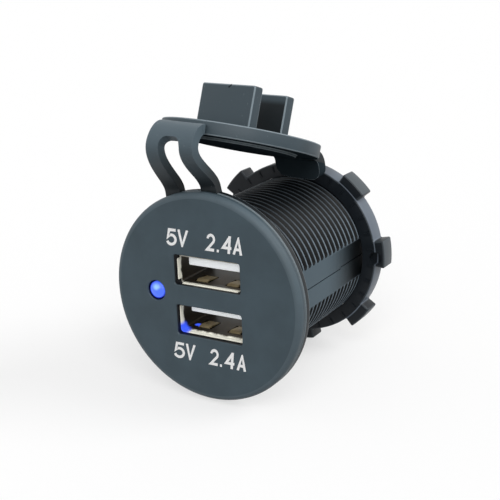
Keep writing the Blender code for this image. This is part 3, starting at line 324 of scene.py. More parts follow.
@dataclass(frozen=True)
class MouldedPlastic(Finish):
    """Spark-eroded plastic: fine grain, faint flow patches and painted highlights on its rounded edges."""

    colour: Colour
    roughness: float = 0.5
    gloss: float = 0.3
    grain_size: float = 0.00016
    grain_depth: float = 0.00001
    grain_sheen: float = 0.14
    patch_size: float = 0.006
    patch_sheen: float = 0.10
    patchiness: float = 0.10
    # Painted highlight on the rounded edges: its strength, spread and colour.
    edge_highlight: float = 0.12
    edge_highlight_range: Point = (0.6, 1.4)
    painted_highlight: Colour = linear(150, 164, 172)
    # Glow of a part that is no lamp: painted light.
    glow: float = 0.0

    def sockets(self, graph: Graph) -> dict[str, Any]:
        """Grain in the normal and the roughness, patches and painted edge highlights in the colour."""
        place = graph.place()
        grain = graph.noise(place, self.grain_size, 2.0)
        patch = graph.noise(place, self.patch_size)
        body = graph.mottled(patch, self.colour, (1 - self.patchiness, 1 + self.patchiness))
        # Painted highlight: a paler colour on the rounded edges.
        edge_highlight = graph.rubbed() * graph.between(grain, *self.edge_highlight_range) * self.edge_highlight
        sheen = ((grain, self.grain_sheen), (patch, self.patch_sheen))
        return {
            "Base Color": graph.mix(edge_highlight, body, self.painted_highlight),
            "Roughness": graph.varied(self.roughness, *sheen),
            "Specular IOR Level": self.gloss,
            "Emission Color": self.colour,
            "Emission Strength": self.glow,
            "Normal": graph.bump(grain, self.grain_depth),
        }


@dataclass(frozen=True)
class NutPlastic(MouldedPlastic):
    """Moulded plastic with a painted highlight on the ring's outer faces that look to the right."""

    # Colours of the painted highlight on the rim and on the lugs.
    pale: Colour = linear(104, 113, 124)
    lug_pale: Colour = linear(76, 83, 88)
    rim: Point = (0.01670, 0.01682)
    past_rim: Point = (0.01692, 0.01702)
    lug: Point = (0.01860, 0.01868)
    right: Point = (0.0020, 0.0100)

    def sockets(self, graph: Graph) -> dict[str, Any]:
        """Sockets of the moulded plastic, with a painted highlight by radius on the right."""
        sockets = super().sockets(graph)
        place = graph.place()
        radius = graph.radius(place)
        side = graph.ease(graph.axes(place)[0], *self.right)
        on_rim = graph.ease(radius, *self.rim) * graph.fade(radius, *self.past_rim) * side
        body = graph.mix(on_rim, sockets["Base Color"], self.pale)
        on_lug = graph.ease(radius, *self.lug) * side
        sockets["Base Color"] = graph.mix(on_lug, body, self.lug_pale)
        return sockets


@dataclass(frozen=True)
class FasciaPlastic(MouldedPlastic):
    """Moulded plastic with painted shade on its window and lamp-hole walls."""

    # Colour of the painted shade on the opening walls.
    wall: Colour = linear(7, 8, 16)
    wall_depth: Point = (0.00012, 0.00042)
    wall_radius: Point = (0.0118, 0.0120)

    def sockets(self, graph: Graph) -> dict[str, Any]:
        """Sockets of the moulded plastic, with painted shade inside the openings."""
        sockets = super().sockets(graph)
        place = graph.place()
        inside = graph.fade(graph.radius(place), *self.wall_radius)
        deep = graph.ease(graph.axes(place)[1], *self.wall_depth)
        sockets["Base Color"] = graph.mix(inside * deep, sockets["Base Color"], self.wall)
        return sockets


@dataclass(frozen=True)
class Rubber(Finish):
    """Soft matt rubber with a fine skin, faint bloom and specks of dust."""

    colour: Colour
    roughness: float = 0.50
    gloss: float = 0.30
    skin_size: float = 0.00022
    skin_depth: float = 0.000012
    bloom_size: float = 0.0045
    bloom_sheen: float = 0.16
    bloom_shades: Point = (0.88, 1.14)
    speck: Colour = linear(150, 160, 165)
    speck_size: float = 0.00035
    speck_spread: Point = (0.74, 0.80)
    speck_cover: float = 0.5
    # Painted highlight on the rounded edges, then painted shade at the roots and painted light at the top.
    painted_highlight: Colour = linear(160, 174, 182)
    edge_highlight: float = 0.38
    edge_highlight_range: Point = (0.7, 1.3)
    root_fade: Point = (0.0186, 0.0250)
    root_shade: float = 0.16
    top_fade: Point = (0.0240, 0.0280)
    top_shade: float = 1.55
    fade_drift: float = 0.002

    def sockets(self, graph: Graph) -> dict[str, Any]:
        """Bloom, painted shade at the roots and painted light at the top in the colour, specks and painted
        edge highlights on top, skin in the normal.
        """
        place = graph.place()
        skin = graph.noise(place, self.skin_size)
        bloom = graph.noise(place, self.bloom_size)
        dust = graph.ease(graph.noise(place, self.speck_size, 1.0), *self.speck_spread)
        height = graph.axes(place)[2] + (bloom - 0.5) * self.fade_drift
        # Painted shade darkens the rubber towards the roots; painted light brightens it towards the top.
        root, top = (scaled(self.colour, shade) for shade in (self.root_shade, self.top_shade))
        body = graph.mottled(bloom, self.colour, self.bloom_shades)
        body = graph.mix(graph.ease(height, *self.top_fade), body, top)
        body = graph.mix(graph.ease(height, *self.root_fade), root, body)
        # Painted highlight on the rounded edges.
        edge_highlight = graph.rubbed() * self.edge_highlight * graph.between(skin, *self.edge_highlight_range)
        body = graph.mix(edge_highlight, body, self.painted_highlight)
        return {
            "Base Color": graph.mix(dust * self.speck_cover, body, self.speck),
            "Roughness": graph.varied(self.roughness, (bloom, self.bloom_sheen)),
            "Specular IOR Level": self.gloss,
            "Normal": graph.bump(skin, self.skin_depth),
        }


@dataclass(frozen=True)
class CapRubber(Rubber):
    """Rubber of the cap: painted shade on its rear plate's near face, and its outer face matt with painted
    shade.
    """

    edge_highlight: float = 0.46
    top_shade: float = 1.0
    normal: Triple = (0.0, 0.0, 1.0)
    level: float = 0.0
    level_blur: float = 0.00004
    back: Triple = (0.0, 1.0, 0.0)
    rear_place: float = 0.0
    rear_blur: Point = (0.00003, 0.00006)
    rear_foot: Point = (0.0026, 0.0029)
    rear_tip: Point = (0.0078, 0.0090)
    rear_shade: float = 0.18
    outer_patch_size: float = 0.003
    outer_patch_shade: float = 0.7
    dull_roughness: float = 0.6
    # Colours of the painted shade on the outer face and of the painted highlight on its raised disc's edges.
    outer_shade: Colour = linear(48, 58, 64)
    strip: Colour = linear(150, 162, 168)

    def sockets(self, graph: Graph) -> dict[str, Any]:
        """Sockets of the rubber, with painted shade on the rear plate's near face, where its neighbour's
        shadow falls.
        """
        sockets = super().sockets(graph)
        place = graph.place()
        height = graph.along(place, self.normal, self.level)
        face = graph.ease(height, *self.rear_foot) * graph.fade(height, *self.rear_tip)
        off = abs(graph.along(place, self.back, self.rear_place))
        # Painted shade on the rear plate's near face.
        shade = face * graph.fade(off, *self.rear_blur) * (1 - graph.rubbed())
        dark = scaled(self.colour, self.rear_shade)
        sockets["Base Color"] = graph.mix(shade, sockets["Base Color"], dark)
        return sockets

    def shader(self, graph: Graph) -> Socket:
        """Rubber, giving way below a level along the cap's normal to a matt skin with painted shade and
        painted highlights on its rounded edges.
        """
        place = graph.place()
        height = graph.along(place, self.normal, self.level)
        below = graph.fade(height, -self.level_blur, self.level_blur)
        # Painted shade over the outer face, with a painted highlight on the rounded edges of its raised
        # disc.
        patch = graph.noise(place, self.outer_patch_size)
        skin = graph.mix(patch, scaled(self.outer_shade, self.outer_patch_shade), self.outer_shade)
        tone = graph.mix(graph.rubbed(), skin, self.strip)
        sockets = {"Color": tone, "Roughness": self.dull_roughness}
        outer_shade = graph.node("BsdfDiffuse", sockets)
        return graph.node("MixShader", {0: below, 1: super().shader(graph), 2: outer_shade})


@dataclass(frozen=True)
class ThreadPlastic(Finish):
    """Black glossy plastic, with painted highlights on the thread's crests and a painted reflection on the
    side bars.
    """

    valley: Colour = linear(5, 8, 10)
    # Colours of the painted highlight on the crests and of the painted reflection on the bars.
    crest: Colour = linear(122, 136, 147)
    bar: Colour = linear(84, 99, 108)
    roughness: float = 0.42
    gloss: float = 0.14
    bar_sheen: float = 0.1
    grain_size: float = 0.00014
    grain_depth: float = 0.000006
    grain_sheen: float = 0.10
    sheen_noise_size: float = 0.0022
    sheen_noise_stretch: Triple = (1.0, 3.0, 1.0)
    crest_highlight_range: Point = (0.5, 1.3)
    bar_edge_drift: float = 0.002
    crest_rise: Point = (0.01406, 0.01419)
    top_fade: Point = (0.0050, 0.0128)
    top_cover: float = 0.75
    bar_face: Point = (0.01343, 0.01363)
    bar_sides: Point = (0.0035, 0.0045)
    bar_fade: Point = (0.0180, 0.0310)

    def sockets(self, graph: Graph) -> dict[str, Any]:
        """Painted highlight by height in the thread, dimmed by painted shade towards the top, a painted
        reflection along the bars, and gloss to match.
        """
        place = graph.place()
        x, y, z = graph.axes(place)
        sheen_noise = graph.noise(graph.stretched(place, self.sheen_noise_stretch), self.sheen_noise_size)
        # Painted highlight on the crests, dimmed towards the top by painted shade under the cap.
        crest = graph.ease(graph.radius(place), *self.crest_rise)
        painted_highlight = crest * graph.between(sheen_noise, *self.crest_highlight_range)
        painted_highlight = painted_highlight * (1 - graph.ease(z, *self.top_fade) * self.top_cover)
        # Painted reflection on the flat bars, fading towards the nut.
        on_side = graph.ease(abs(x), *self.bar_face) * graph.fade(abs(z), *self.bar_sides)
        on_bar = on_side * graph.fade(y + (sheen_noise - 0.5) * self.bar_edge_drift, *self.bar_fade)
        grain = graph.noise(place, self.grain_size, 2.0)
        thread = graph.mix(painted_highlight, self.valley, self.crest)
        sheen = graph.varied(self.roughness, (grain, self.grain_sheen))
        return {
            "Base Color": graph.mix(on_bar, thread, self.bar),
            "Roughness": sheen + on_bar * self.bar_sheen,
            "Specular IOR Level": self.gloss,
            "Normal": graph.bump(grain, self.grain_depth),
        }


@dataclass(frozen=True)
class BrushedMetal(Finish):
    """Sheet metal with rolling lines, small stains and duller patches."""

    colour: Colour
    stain: Colour
    roughness: float = 0.28
    lines: Triple = (1.0, 0.06, 1.0)
    line_size: float = 0.00008
    line_depth: float = 0.000003
    line_sheen: float = 0.16
    stain_size: float = 0.0016
    stain_spread: Point = (0.45, 0.75)
    stain_share: float = 0.5
    stain_sheen: float = 0.08
    metallic: float = 1.0

    def sockets(self, graph: Graph) -> dict[str, Any]:
        """Rolling lines in the roughness and the normal, stains in the colour."""
        place = graph.place()
        line = graph.noise(graph.stretched(place, self.lines), self.line_size, 2.0)
        blot = graph.ease(graph.noise(place, self.stain_size), *self.stain_spread)
        sheen = graph.varied(self.roughness, (line, self.line_sheen))
        return {
            "Base Color": graph.mix(blot * self.stain_share, self.colour, self.stain),
            "Metallic": self.metallic,
            "Roughness": sheen + blot * self.stain_sheen,
            "Normal": graph.bump(line, self.line_depth),
        }


@dataclass(frozen=True)
class PortSteel(Finish):
    """Nickel-plated steel of a receptacle, with painted light at its lip and painted shade inside."""

    # Colours of the painted light at the lip, the painted shade inside and the painted glow of the lamp's
    # light.
    lip: Colour = linear(255, 253, 238)
    inside: Colour = linear(50, 43, 32)
    glow: Colour = linear(62, 96, 255)
    shade_depth: Point = (0.0016, 0.0020)
    glow_middle: Triple = (-0.0057, 0.0012, -0.0069)
    glow_reach: float = 0.0019
    streak_middle: Triple = (-0.0042, 0.0040, -0.0066)
    streak_reach: float = 0.0007
    roughness: float = 0.30
    lines: Triple = (1.0, 0.08, 1.0)
    line_size: float = 0.00009
    line_depth: float = 0.000003
    line_sheen: float = 0.18
    blot_size: float = 0.0011
    blot_drift: float = 0.0008
    edge_size: float = 0.0009
    edge_drift: float = 0.0006
    deep_metallic: float = 0.7
    deep_sheen: float = 0.08

    def near(self, graph: Graph, place: Socket, middle: Sequence[float], reach: float) -> Socket:
        """1 by a point, falling to 0 at a reach from it."""
        away = graph.vector_maths("DISTANCE", place, middle, "Value")
        drift = (graph.noise(place, self.edge_size) - 0.5) * self.edge_drift
        return graph.fade(away + drift, reach / 2, reach)

    def sockets(self, graph: Graph) -> dict[str, Any]:
        """Painted shade by depth behind the lip, with the lamp's light painted in at one corner."""
        place = graph.place()
        depth = graph.axes(place)[1]
        line = graph.noise(graph.stretched(place, self.lines), self.line_size, 2.0)
        drift = (graph.noise(place, self.blot_size) - 0.5) * self.blot_drift
        # Painted shade deepens with depth behind the bright lip.
        deep = graph.ease(depth + drift, *self.shade_depth)
        # Painted light from the lamp: a glow at one corner and a streak.
        corner = self.near(graph, place, self.glow_middle, self.glow_reach)
        streak = self.near(graph, place, self.streak_middle, self.streak_reach)
        lit = graph.maths("MAXIMUM", corner, streak)
        colour = graph.mix(deep, self.lip, self.inside)
        sheen = graph.varied(self.roughness, (line, self.line_sheen))
        return {
            "Base Color": graph.mix(lit, colour, BLACK),
            "Metallic": deep * self.deep_metallic,
            "Roughness": sheen + deep * self.deep_sheen,
            "Normal": graph.bump(line, self.line_depth),
            "Emission Color": graph.mix(lit, BLACK, self.glow),
            "Emission Strength": 1.0,
        }


@dataclass(frozen=True)
class LitLens(Finish):
    """Blue lens lit from behind: a bright body, with a pale painted highlight and a navy rim of painted
    shade.
    """

    # Colours of the painted highlight, the lit body and the painted shade at the rim.
    glint: Colour = linear(150, 200, 255)
    body: Colour = linear(62, 104, 250)
    rim: Colour = linear(10, 18, 150)
    middle: Point = LAMP_PLACE
    radius: float = LAMP_RADIUS
    skin: Colour = (0.01, 0.03, 0.22)
    roughness: float = 0.10
    coat: float = 0.3
    glint_middle: Point = (0.05, 0.42)
    glint_squash: float = 1.25
    glint_fade: Point = (0.10, 0.62)
    rim_lean: Point = (0.10, 0.08)
    rim_fade: Point = (0.82, 1.02)
    side_depth: Point = (0.0006, 0.0016)
    side_shade: float = 0.4
    cloud_size: float = 0.0007
    cloud_drifts: Point = (0.25, 0.06)
    cloud_sheen: float = 0.06

    def sockets(self, graph: Graph) -> dict[str, Any]:
        """Glow by the distance from the lens's middle and from its painted highlight, with painted shade at
        the rim.
        """
        place = graph.place()
        x, y, z = graph.axes(place)
        across = (x - self.middle[0]) / self.radius
        up = (z - self.middle[1]) / self.radius
        glint_across = across - self.glint_middle[0]
        glint_up = (up - self.glint_middle[1]) * self.glint_squash
        from_middle = (across * across + up * up) ** 0.5
        from_glint = (glint_across * glint_across + glint_up * glint_up) ** 0.5
        cloud = graph.noise(place, self.cloud_size) - 0.5
        glint_share = graph.fade(from_glint + cloud * self.cloud_drifts[0], *self.glint_fade)
        lean = across * self.rim_lean[0] + up * self.rim_lean[1]
        shadow = graph.ease(from_middle - lean + cloud * self.cloud_drifts[1], *self.rim_fade)
        front = graph.mix(shadow, graph.mix(glint_share, self.body, self.glint), self.rim)
        # Painted shade down the lens's sides, behind its face.
        behind = graph.ease(y, *self.side_depth)
        return {
            "Base Color": self.skin,
            "Roughness": self.roughness + (cloud + 0.5) * self.cloud_sheen,
            "Coat Weight": self.coat,
            "Emission Color": graph.mix(behind, front, scaled(self.rim, self.side_shade)),
            "Emission Strength": 1.0,
        }


@dataclass(frozen=True)
class Laminate(Finish):
    """Green board: glass weave under the lacquer, with paler copper lands."""

    colour: Colour = linear(20, 84, 44)
    land: Colour = linear(60, 130, 70)
    roughness: float = 0.38
    weave_sheen: float = 0.05
    weave_depth: float = 0.000008
    threads: float = 9000.0
    land_stretch: Triple = (1.0, 0.3, 1.0)
    land_size: float = 0.0022
    land_edge: Point = (0.50, 0.54)
    land_share: float = 0.6

    def sockets(self, graph: Graph) -> dict[str, Any]:
        """Weave in the normal, lands in the colour."""
        place = graph.place()
        x, y, z = graph.axes(place)
        weave = (x * self.threads).sine() * ((y + z) * self.threads).sine()
        pattern = graph.noise(graph.stretched(place, self.land_stretch), self.land_size, 0.0)
        lands = graph.ease(pattern, *self.land_edge)
        return {
            "Base Color": graph.mix(lands * self.land_share, self.colour, self.land),
            "Roughness": self.roughness + weave * self.weave_sheen,
            "Normal": graph.bump(weave, self.weave_depth),
        }


@dataclass(frozen=True)
class Winding(Finish):
    """Enamelled copper wire wound in layers round a drum."""

    colour: Colour = linear(196, 112, 62)
    groove: Colour = linear(90, 40, 20)
    wire: float = 0.0003
    metallic: float = 0.9
    roughness: float = 0.42
    wire_sheen: float = 0.12
    wobble_size: float = 0.002
    wobble: float = 0.0002

    def sockets(self, graph: Graph) -> dict[str, Any]:
        """Turns of wire as bands along the drum's height, with painted shade in the grooves between them."""
        place = graph.place()
        height = graph.axes(place)[2] + graph.noise(place, self.wobble_size) * self.wobble
        turn = abs((height * (math.pi / self.wire)).sine())
        return {
            "Base Color": graph.mix(turn, self.groove, self.colour),
            "Metallic": self.metallic,
            "Roughness": self.roughness - turn * self.wire_sheen,
            "Normal": graph.bump(turn, self.wire / 4),
        }


@dataclass(frozen=True)
class Ink(Finish):
    """Pad-printed ink: nearly even, a little thinner in small spots."""

    colour: Colour = linear(255, 255, 255)
    thin: Colour = linear(214, 220, 224)
    roughness: float = 0.55
    gloss: float = 0.3
    spot_size: float = 0.00025
    spot_spread: Point = (0.58, 0.75)
    spot_share: float = 0.4
    spot_sheen: float = 0.2
    spot_depth: float = 0.000004

    def sockets(self, graph: Graph) -> dict[str, Any]:
        """Thin spots in the colour, a dry surface."""
        spot = graph.ease(graph.noise(graph.place(), self.spot_size), *self.spot_spread)
        return {
            "Base Color": graph.mix(spot * self.spot_share, self.colour, self.thin),
            "Roughness": self.roughness + spot * self.spot_sheen,
            "Specular IOR Level": self.gloss,
            "Normal": graph.bump(spot, self.spot_depth),
        }


@dataclass(frozen=True)
class CapPose:
    """Where the open cap lies: the middle of its plug face and the way that this faces."""

    place: Vector = field(default_factory=lambda: Vector((-0.00008, 0.01444, 0.02605)))
    tilt: float = math.radians(18.9)
    lean: float = math.radians(2.7)
    yaw: float = math.radians(-10.7)
    outer_depth: float = 0.0023
    rear_plate: float = 0.003135

    @property
    def normal(self) -> Vector:
        """Direction out of the cap's plug face."""
        return Vector((
            math.sin(self.lean),
            math.sin(self.tilt) * math.cos(self.lean),
            math.cos(self.tilt) * math.cos(self.lean),
        ))

    @property
    def matrix(self) -> Matrix:
        """Matrix of the open cap, whose local Z is its normal."""
        normal = self.normal
        level = (Vector((1.0, 0.0, 0.0)) - normal * normal.x).normalized()
        across = math.cos(self.yaw) * level + math.sin(self.yaw) * normal.cross(level)
        matrix = Matrix((across, normal.cross(across), normal)).transposed().to_4x4()
        matrix.translation = self.place
        return matrix


@dataclass
class Palette:
    """Every finish of the socket, each built once, by the frame's slot names."""

    built: dict[str, bpy.types.Material] = field(default_factory=dict)

    @staticmethod
    def cap_rubber(colour: Colour) -> CapRubber:
        """Rubber of the cap, its painted shade laid out for the pose in which the cap lies open."""
        pose = CapPose()
        back = pose.matrix.to_3x3().col[1]
        return CapRubber(
            "cap_rubber",
            colour,
            normal=tuple(pose.normal),
            level=pose.place.dot(pose.normal) - pose.outer_depth,
            back=tuple(back),
            rear_place=pose.place.dot(back) + pose.rear_plate,
        )

    def finishes(self) -> tuple[Finish, ...]:
        """The finishes, each named for the slot that it fills or for its piece."""
        rubber = linear(62, 74, 81)
        along_height, along_depth = (1.0, 1.0, 0.05), (1.0, 0.05, 1.0)
        return (
            FasciaPlastic("fascia_plastic", linear(64, 78, 86), roughness=0.52, edge_highlight=0.10),
            Rubber("cover_rubber", rubber),
            self.cap_rubber(rubber),
            ThreadPlastic("barrel_plastic"),
            NutPlastic("nut_plastic", linear(22, 27, 32), roughness=0.40, gloss=0.22, edge_highlight=0.08),
            MouldedPlastic("rear_plastic", linear(22, 24, 26), gloss=0.35),
            MouldedPlastic("black_resin", linear(24, 24, 25), roughness=0.55, grain_depth=0.00002),
            MouldedPlastic("ferrite", linear(52, 50, 52), roughness=0.7, grain_depth=0.00003),
            # The insulator glows a little: painted light.
            MouldedPlastic(
                "white_insulator", linear(248, 252, 255), 0.38, patchiness=0.02, glow=0.35
            ),
            PortSteel("port_steel"),
            BrushedMetal(
                "spring_steel", linear(140, 126, 94), linear(84, 70, 50), 0.4, metallic=0.4
            ),
            BrushedMetal("gold_contact", linear(232, 190, 110), linear(190, 140, 70), 0.24),
            BrushedMetal("tinned_wire", linear(200, 200, 198), linear(150, 150, 148), 0.30),
            BrushedMetal(
                "can_aluminium", linear(205, 207, 210), linear(165, 167, 170), 0.32, along_height
            ),
            BrushedMetal(
                "terminal_brass", linear(214, 194, 140), linear(176, 140, 84), 0.30, along_depth
            ),
            LitLens("blue_lens"),
            Laminate("board_laminate"),
            Winding("copper_coil"),
            Ink("print_ink"),
        )

    def __post_init__(self) -> None:
        """Build each finish."""
        for finish in self.finishes():
            self.built[finish.name] = finish.material()

    def __getitem__(self, name: str) -> bpy.types.Material:
        """The finish of a name."""
        return self.built[name]


def show(thing: bpy.types.Object) -> None:
    """Put an object into the scene."""
    bpy.context.scene.collection.objects.link(thing)


class Form:
    """A mesh being shaped with bmesh operators."""

    def __init__(self) -> None:
        """Start with nothing but a mark for rounded edges."""
        self.work = bmesh.new()
        self.work.faces.layers.float.new(HIGHLIT_EDGES)

    def line(self, points: Sequence[Sequence[float]], closed: bool = False) -> list[BMEdge]:
        """Wire through points, joined end to start where it is closed."""
        verts = [self.work.verts.new(point) for point in points]
        ends = verts[1:] + verts[:1] if closed else verts[1:]
        return [self.work.edges.new(pair) for pair in zip(verts, ends)]

    def circle(self, radius: float, steps: int, matrix: Matrix) -> list[BMEdge]:
        """Wire circle in the XY plane of a matrix."""
        verts = bmesh.ops.create_circle(
            self.work, cap_ends=False, segments=steps, radius=radius, matrix=matrix
        )["verts"]
        return list({edge for vert in verts for edge in vert.link_edges})

    def frame(
        self, width: float, height: float, radius: float, steps: int, matrix: Matrix
    ) -> list[BMEdge]:
        """Wire rectangle with round corners.

        Args:
            width: Size along the matrix's X.
            height: Size along the matrix's Y.
            radius: Radius of the corners.
            steps: Edges round each corner.
            matrix: Where its middle lies and how it is turned.

        Returns:
            The edges of the outline.
        """
        spots = [Vector((x * width / 2, y * height / 2, 0.0)) for x, y in CORNERS]
        verts = [self.work.verts.new(matrix @ spot) for spot in spots]
        self.work.faces.new(verts)
        rounded = self.bevel(verts, radius, steps, "VERTICES")
        faces = {face for vert in rounded["verts"] for face in vert.link_faces}
        edges = list({edge for face in faces for edge in face.edges})
        bmesh.ops.delete(self.work, geom=list(faces), context="FACES_ONLY")
        return edges

    def turn(
        self, edges: list[BMEdge], steps: int, angle: float = FULL_TURN, advance: float = 0.0
    ) -> list[BMEdge]:
        """Sweep edges about the barrel's axis.

        Args:
            edges: The wire to sweep.
            steps: Number of steps of the sweep.
            angle: Angle swept, in radians.
            advance: Distance moved along +Y over the whole sweep.

        Returns:
            The edges at the end of the sweep.
        """
        verts = list({vert for edge in edges for vert in edge.verts})
        last = bmesh.ops.spin(
            self.work,
            geom=verts + list(edges),
            cent=(0.0, 0.0, 0.0),
            axis=(0.0, 1.0, 0.0),
            dvec=(0.0, advance / steps, 0.0),
            angle=angle,
            steps=steps,
            use_merge=math.isclose(angle, FULL_TURN) and not advance,
        )["geom_last"]
        return [item for item in last if isinstance(item, BMEdge)]

    def lathe(self, points: Sequence[Point], steps: int, closed: bool = False) -> None:
        """Turn a half section of (radius, y) pairs all the way round the barrel's axis."""
        self.turn(self.line(section(points), closed), steps)
        self.merge()

    def merge(self) -> None:
        """Join points that lie together."""
        bmesh.ops.remove_doubles(self.work, verts=self.work.verts, dist=MERGE_DISTANCE)

    def fill(self, edges: list[BMEdge]) -> None:
        """Fill flat wire outlines, leaving the inner ones as holes."""
        bmesh.ops.triangle_fill(self.work, use_beauty=True, edges=edges)

    def bridge(self, first: list[BMEdge], second: list[BMEdge]) -> None:
        """Join two wire loops with a band of faces."""
        bmesh.ops.bridge_loops(self.work, edges=first + second)

    def place(self, matrix: Matrix, verts: Sequence[BMVert] | None = None) -> None:
        """Move and turn some of the points, or the whole form."""
        bmesh.ops.transform(self.work, matrix=matrix, verts=verts or self.work.verts)

    def pull(self, geometry: list[Any], move: Vector) -> list[BMVert]:
        """Move new geometry off the old that it grew from, and give back its points."""
        verts = [item for item in geometry if isinstance(item, BMVert)]
        bmesh.ops.translate(self.work, vec=move, verts=verts)
        return verts

    def extrude(self, faces: list[BMFace], move: Vector = STILL) -> list[BMVert]:
        """Pull faces out along a move, and give back the points that moved."""
        return self.pull(bmesh.ops.extrude_face_region(self.work, geom=faces)["geom"], move)

    def strip(self, points: Sequence[Sequence[float]], width: float) -> None:
        """Level sheet between a line and its copy to the right."""
        grown = bmesh.ops.extrude_edge_only(self.work, edges=self.line(points))["geom"]
        self.pull(grown, Vector((width, 0.0, 0.0)))

    def block(self, first: Sequence[float], second: Sequence[float]) -> list[BMVert]:
        """Box between two opposite corners."""
        size = [abs(b - a) for a, b in zip(first, second)]
        middle = (Vector(first) + Vector(second)) / 2
        matrix = Matrix.Translation(middle) @ Matrix.Diagonal((*size, 1.0))
        return bmesh.ops.create_cube(self.work, size=1.0, matrix=matrix)["verts"]

    def sharp(self, angle: float, keep: Callable[[Vector], bool] | None = None) -> list[BMEdge]:
        """Edges that turn by more than an angle in degrees, with both ends where keep says."""
        found = []
        for edge in self.work.edges:
            if not edge.is_manifold or edge.calc_face_angle() < math.radians(angle):
                continue
            if keep is None or all(keep(vert.co) for vert in edge.verts):
                found.append(edge)
        return found

    def bevel(
        self, parts: list[Any], width: float, steps: int, affect: str = "EDGES", clamp: bool = False
    ) -> dict[str, list[Any]]:
        """Round off edges or corners, and give back what the operator reports."""
        return bmesh.ops.bevel(
            self.work,
            geom=parts,
            offset=width,
            offset_type="OFFSET",
            segments=steps,
            profile=0.5,
            affect=affect,
            clamp_overlap=clamp,
            material=-1,
        )

    def soften(
        self,
        width: float,
        steps: int = 3,
        angle: float = 30.0,
        keep: Callable[[Vector], bool] | None = None,
    ) -> None:
        """Round the sharp edges.

        Args:
            width: Distance from the edge at which the rounding starts.
            steps: Faces across the rounding.
            angle: Only edges that turn by more than this, in degrees, are rounded.
            keep: Says of a point whether edges there are rounded.
        """
        rounded = self.bevel(self.sharp(angle, keep), width, steps, clamp=True)
        # Mark the rounded faces, on which the finishes paint a highlight.
        rubbed = self.work.faces.layers.float[HIGHLIT_EDGES]
        for face in rounded["faces"]:
            face[rubbed] = 1.0

    def divide(self, place: Vector, normal: Vector, clear: bool = False) -> None:
        """Cut the mesh along a plane, dropping the side that the normal points to on request."""
        geometry = self.work.verts[:] + self.work.edges[:] + self.work.faces[:]
        bmesh.ops.bisect_plane(
            self.work,
            geom=geometry,
            dist=MERGE_DISTANCE / 4,
            plane_co=place,
            plane_no=normal,
            clear_outer=clear,
        )

    def close(self) -> None:
        """Fill each open edge loop."""
        edges = [edge for edge in self.work.edges if edge.is_boundary]
        bmesh.ops.holes_fill(self.work, edges=edges, sides=0)

    def turn_outwards(self) -> None:
        """Make every face point out."""
        bmesh.ops.recalc_face_normals(self.work, faces=self.work.faces)

    def mesh(self, name: str) -> bpy.types.Mesh:
        """Mesh data of the form, with its faces pointing out."""
        self.turn_outwards()
        mesh = bpy.data.meshes.new(name)
        self.work.to_mesh(mesh)
        return mesh

    def through(self, kind: str, settings: dict[str, Any]) -> None:
        """Pass the form through one modifier and go on from its result."""
        holder = bpy.data.objects.new("holder", self.mesh("holder"))
        show(holder)
        modifier = holder.modifiers.new("step", kind)
        for name, value in settings.items():
            setattr(modifier, name, value)
        depsgraph = bpy.context.evaluated_depsgraph_get()
        result = bpy.data.meshes.new_from_object(holder.evaluated_get(depsgraph))
        self.work.free()
        self.work = bmesh.new()
        self.work.from_mesh(result)
        before = holder.data
        bpy.data.objects.remove(holder)
        bpy.data.meshes.remove(before)
        bpy.data.meshes.remove(result)

    def thicken(self, thickness: float, offset: float = 0.0) -> None:
        """Give a surface a wall, about it or to one side."""
        settings = {"thickness": thickness, "offset": offset, "use_even_offset": True}
        self.through("SOLIDIFY", settings)

    def combine(self, tool: "Form", way: Cut) -> None:
        """Cut another form out of this one, or join it on."""
        holder = bpy.data.objects.new("tool", tool.mesh("tool"))
        show(holder)
        self.through("BOOLEAN", {"operation": way.value, "solver": "EXACT", "object": holder})
        mesh = holder.data
        bpy.data.objects.remove(holder)
        bpy.data.meshes.remove(mesh)
        tool.work.free()

    def hollow(self, first: Sequence[float], second: Sequence[float]) -> None:
        """Cut a box out between two opposite corners."""
        tool = Form()
        tool.block(first, second)
        self.combine(tool, Cut.REMOVE)

    def copy(self) -> "Form":
        """A second form like this one."""
        twin = Form()
        twin.work.free()
        twin.work = self.work.copy()
        return twin

    def piece(
        self, name: str, material: bpy.types.Material, crease: float = CREASE
    ) -> bpy.types.Object:
        """Finish the form as an object at the origin, its edges crisp past an angle in degrees."""
        self.merge()
        mesh = self.mesh(name)
        self.work.free()
        mesh.shade_smooth()
        mesh.set_sharp_from_angle(angle=math.radians(crease))
        mesh.materials.append(material)
        piece = bpy.data.objects.new(name, mesh)
        show(piece)
        LOG.info("%s: %d faces", name, len(mesh.polygons))
        return piece


def arc(centre: Point, radius: float, start: float, end: float, steps: int) -> list[Point]:
    """Points along an arc between two angles in degrees, both ends included."""
    angles = [math.radians(start + (end - start) * step / steps) for step in range(steps + 1)]
    return [(centre[0] + radius * math.cos(a), centre[1] + radius * math.sin(a)) for a in angles]


def section(points: Sequence[Point]) -> list[tuple[float, float, float]]:
    """Half section of a turned piece: (radius, y) pairs laid above the axis."""
    return [(0.0, y, radius) for radius, y in points]


def at(x: float, y: float, z: float) -> Matrix:
    """Matrix that lays a flat outline upright, facing the front, at a place."""
    return Matrix.Translation((x, y, z)) @ FACING_FRONT


def direction(azimuth: float, elevation: float) -> Vector:
    """Direction towards a place round the object, its azimuth from the front to the right."""
    level = math.cos(elevation)
    return Vector((math.sin(azimuth) * level, -math.cos(azimuth) * level, math.sin(elevation)))


def to_radius(vert: BMVert, radius: float) -> None:
    """Move a point straight out or in to a distance from the barrel's axis."""
    reach = radius / max(vert.co.xz.length, MERGE_DISTANCE)
    vert.co.x *= reach
    vert.co.z *= reach


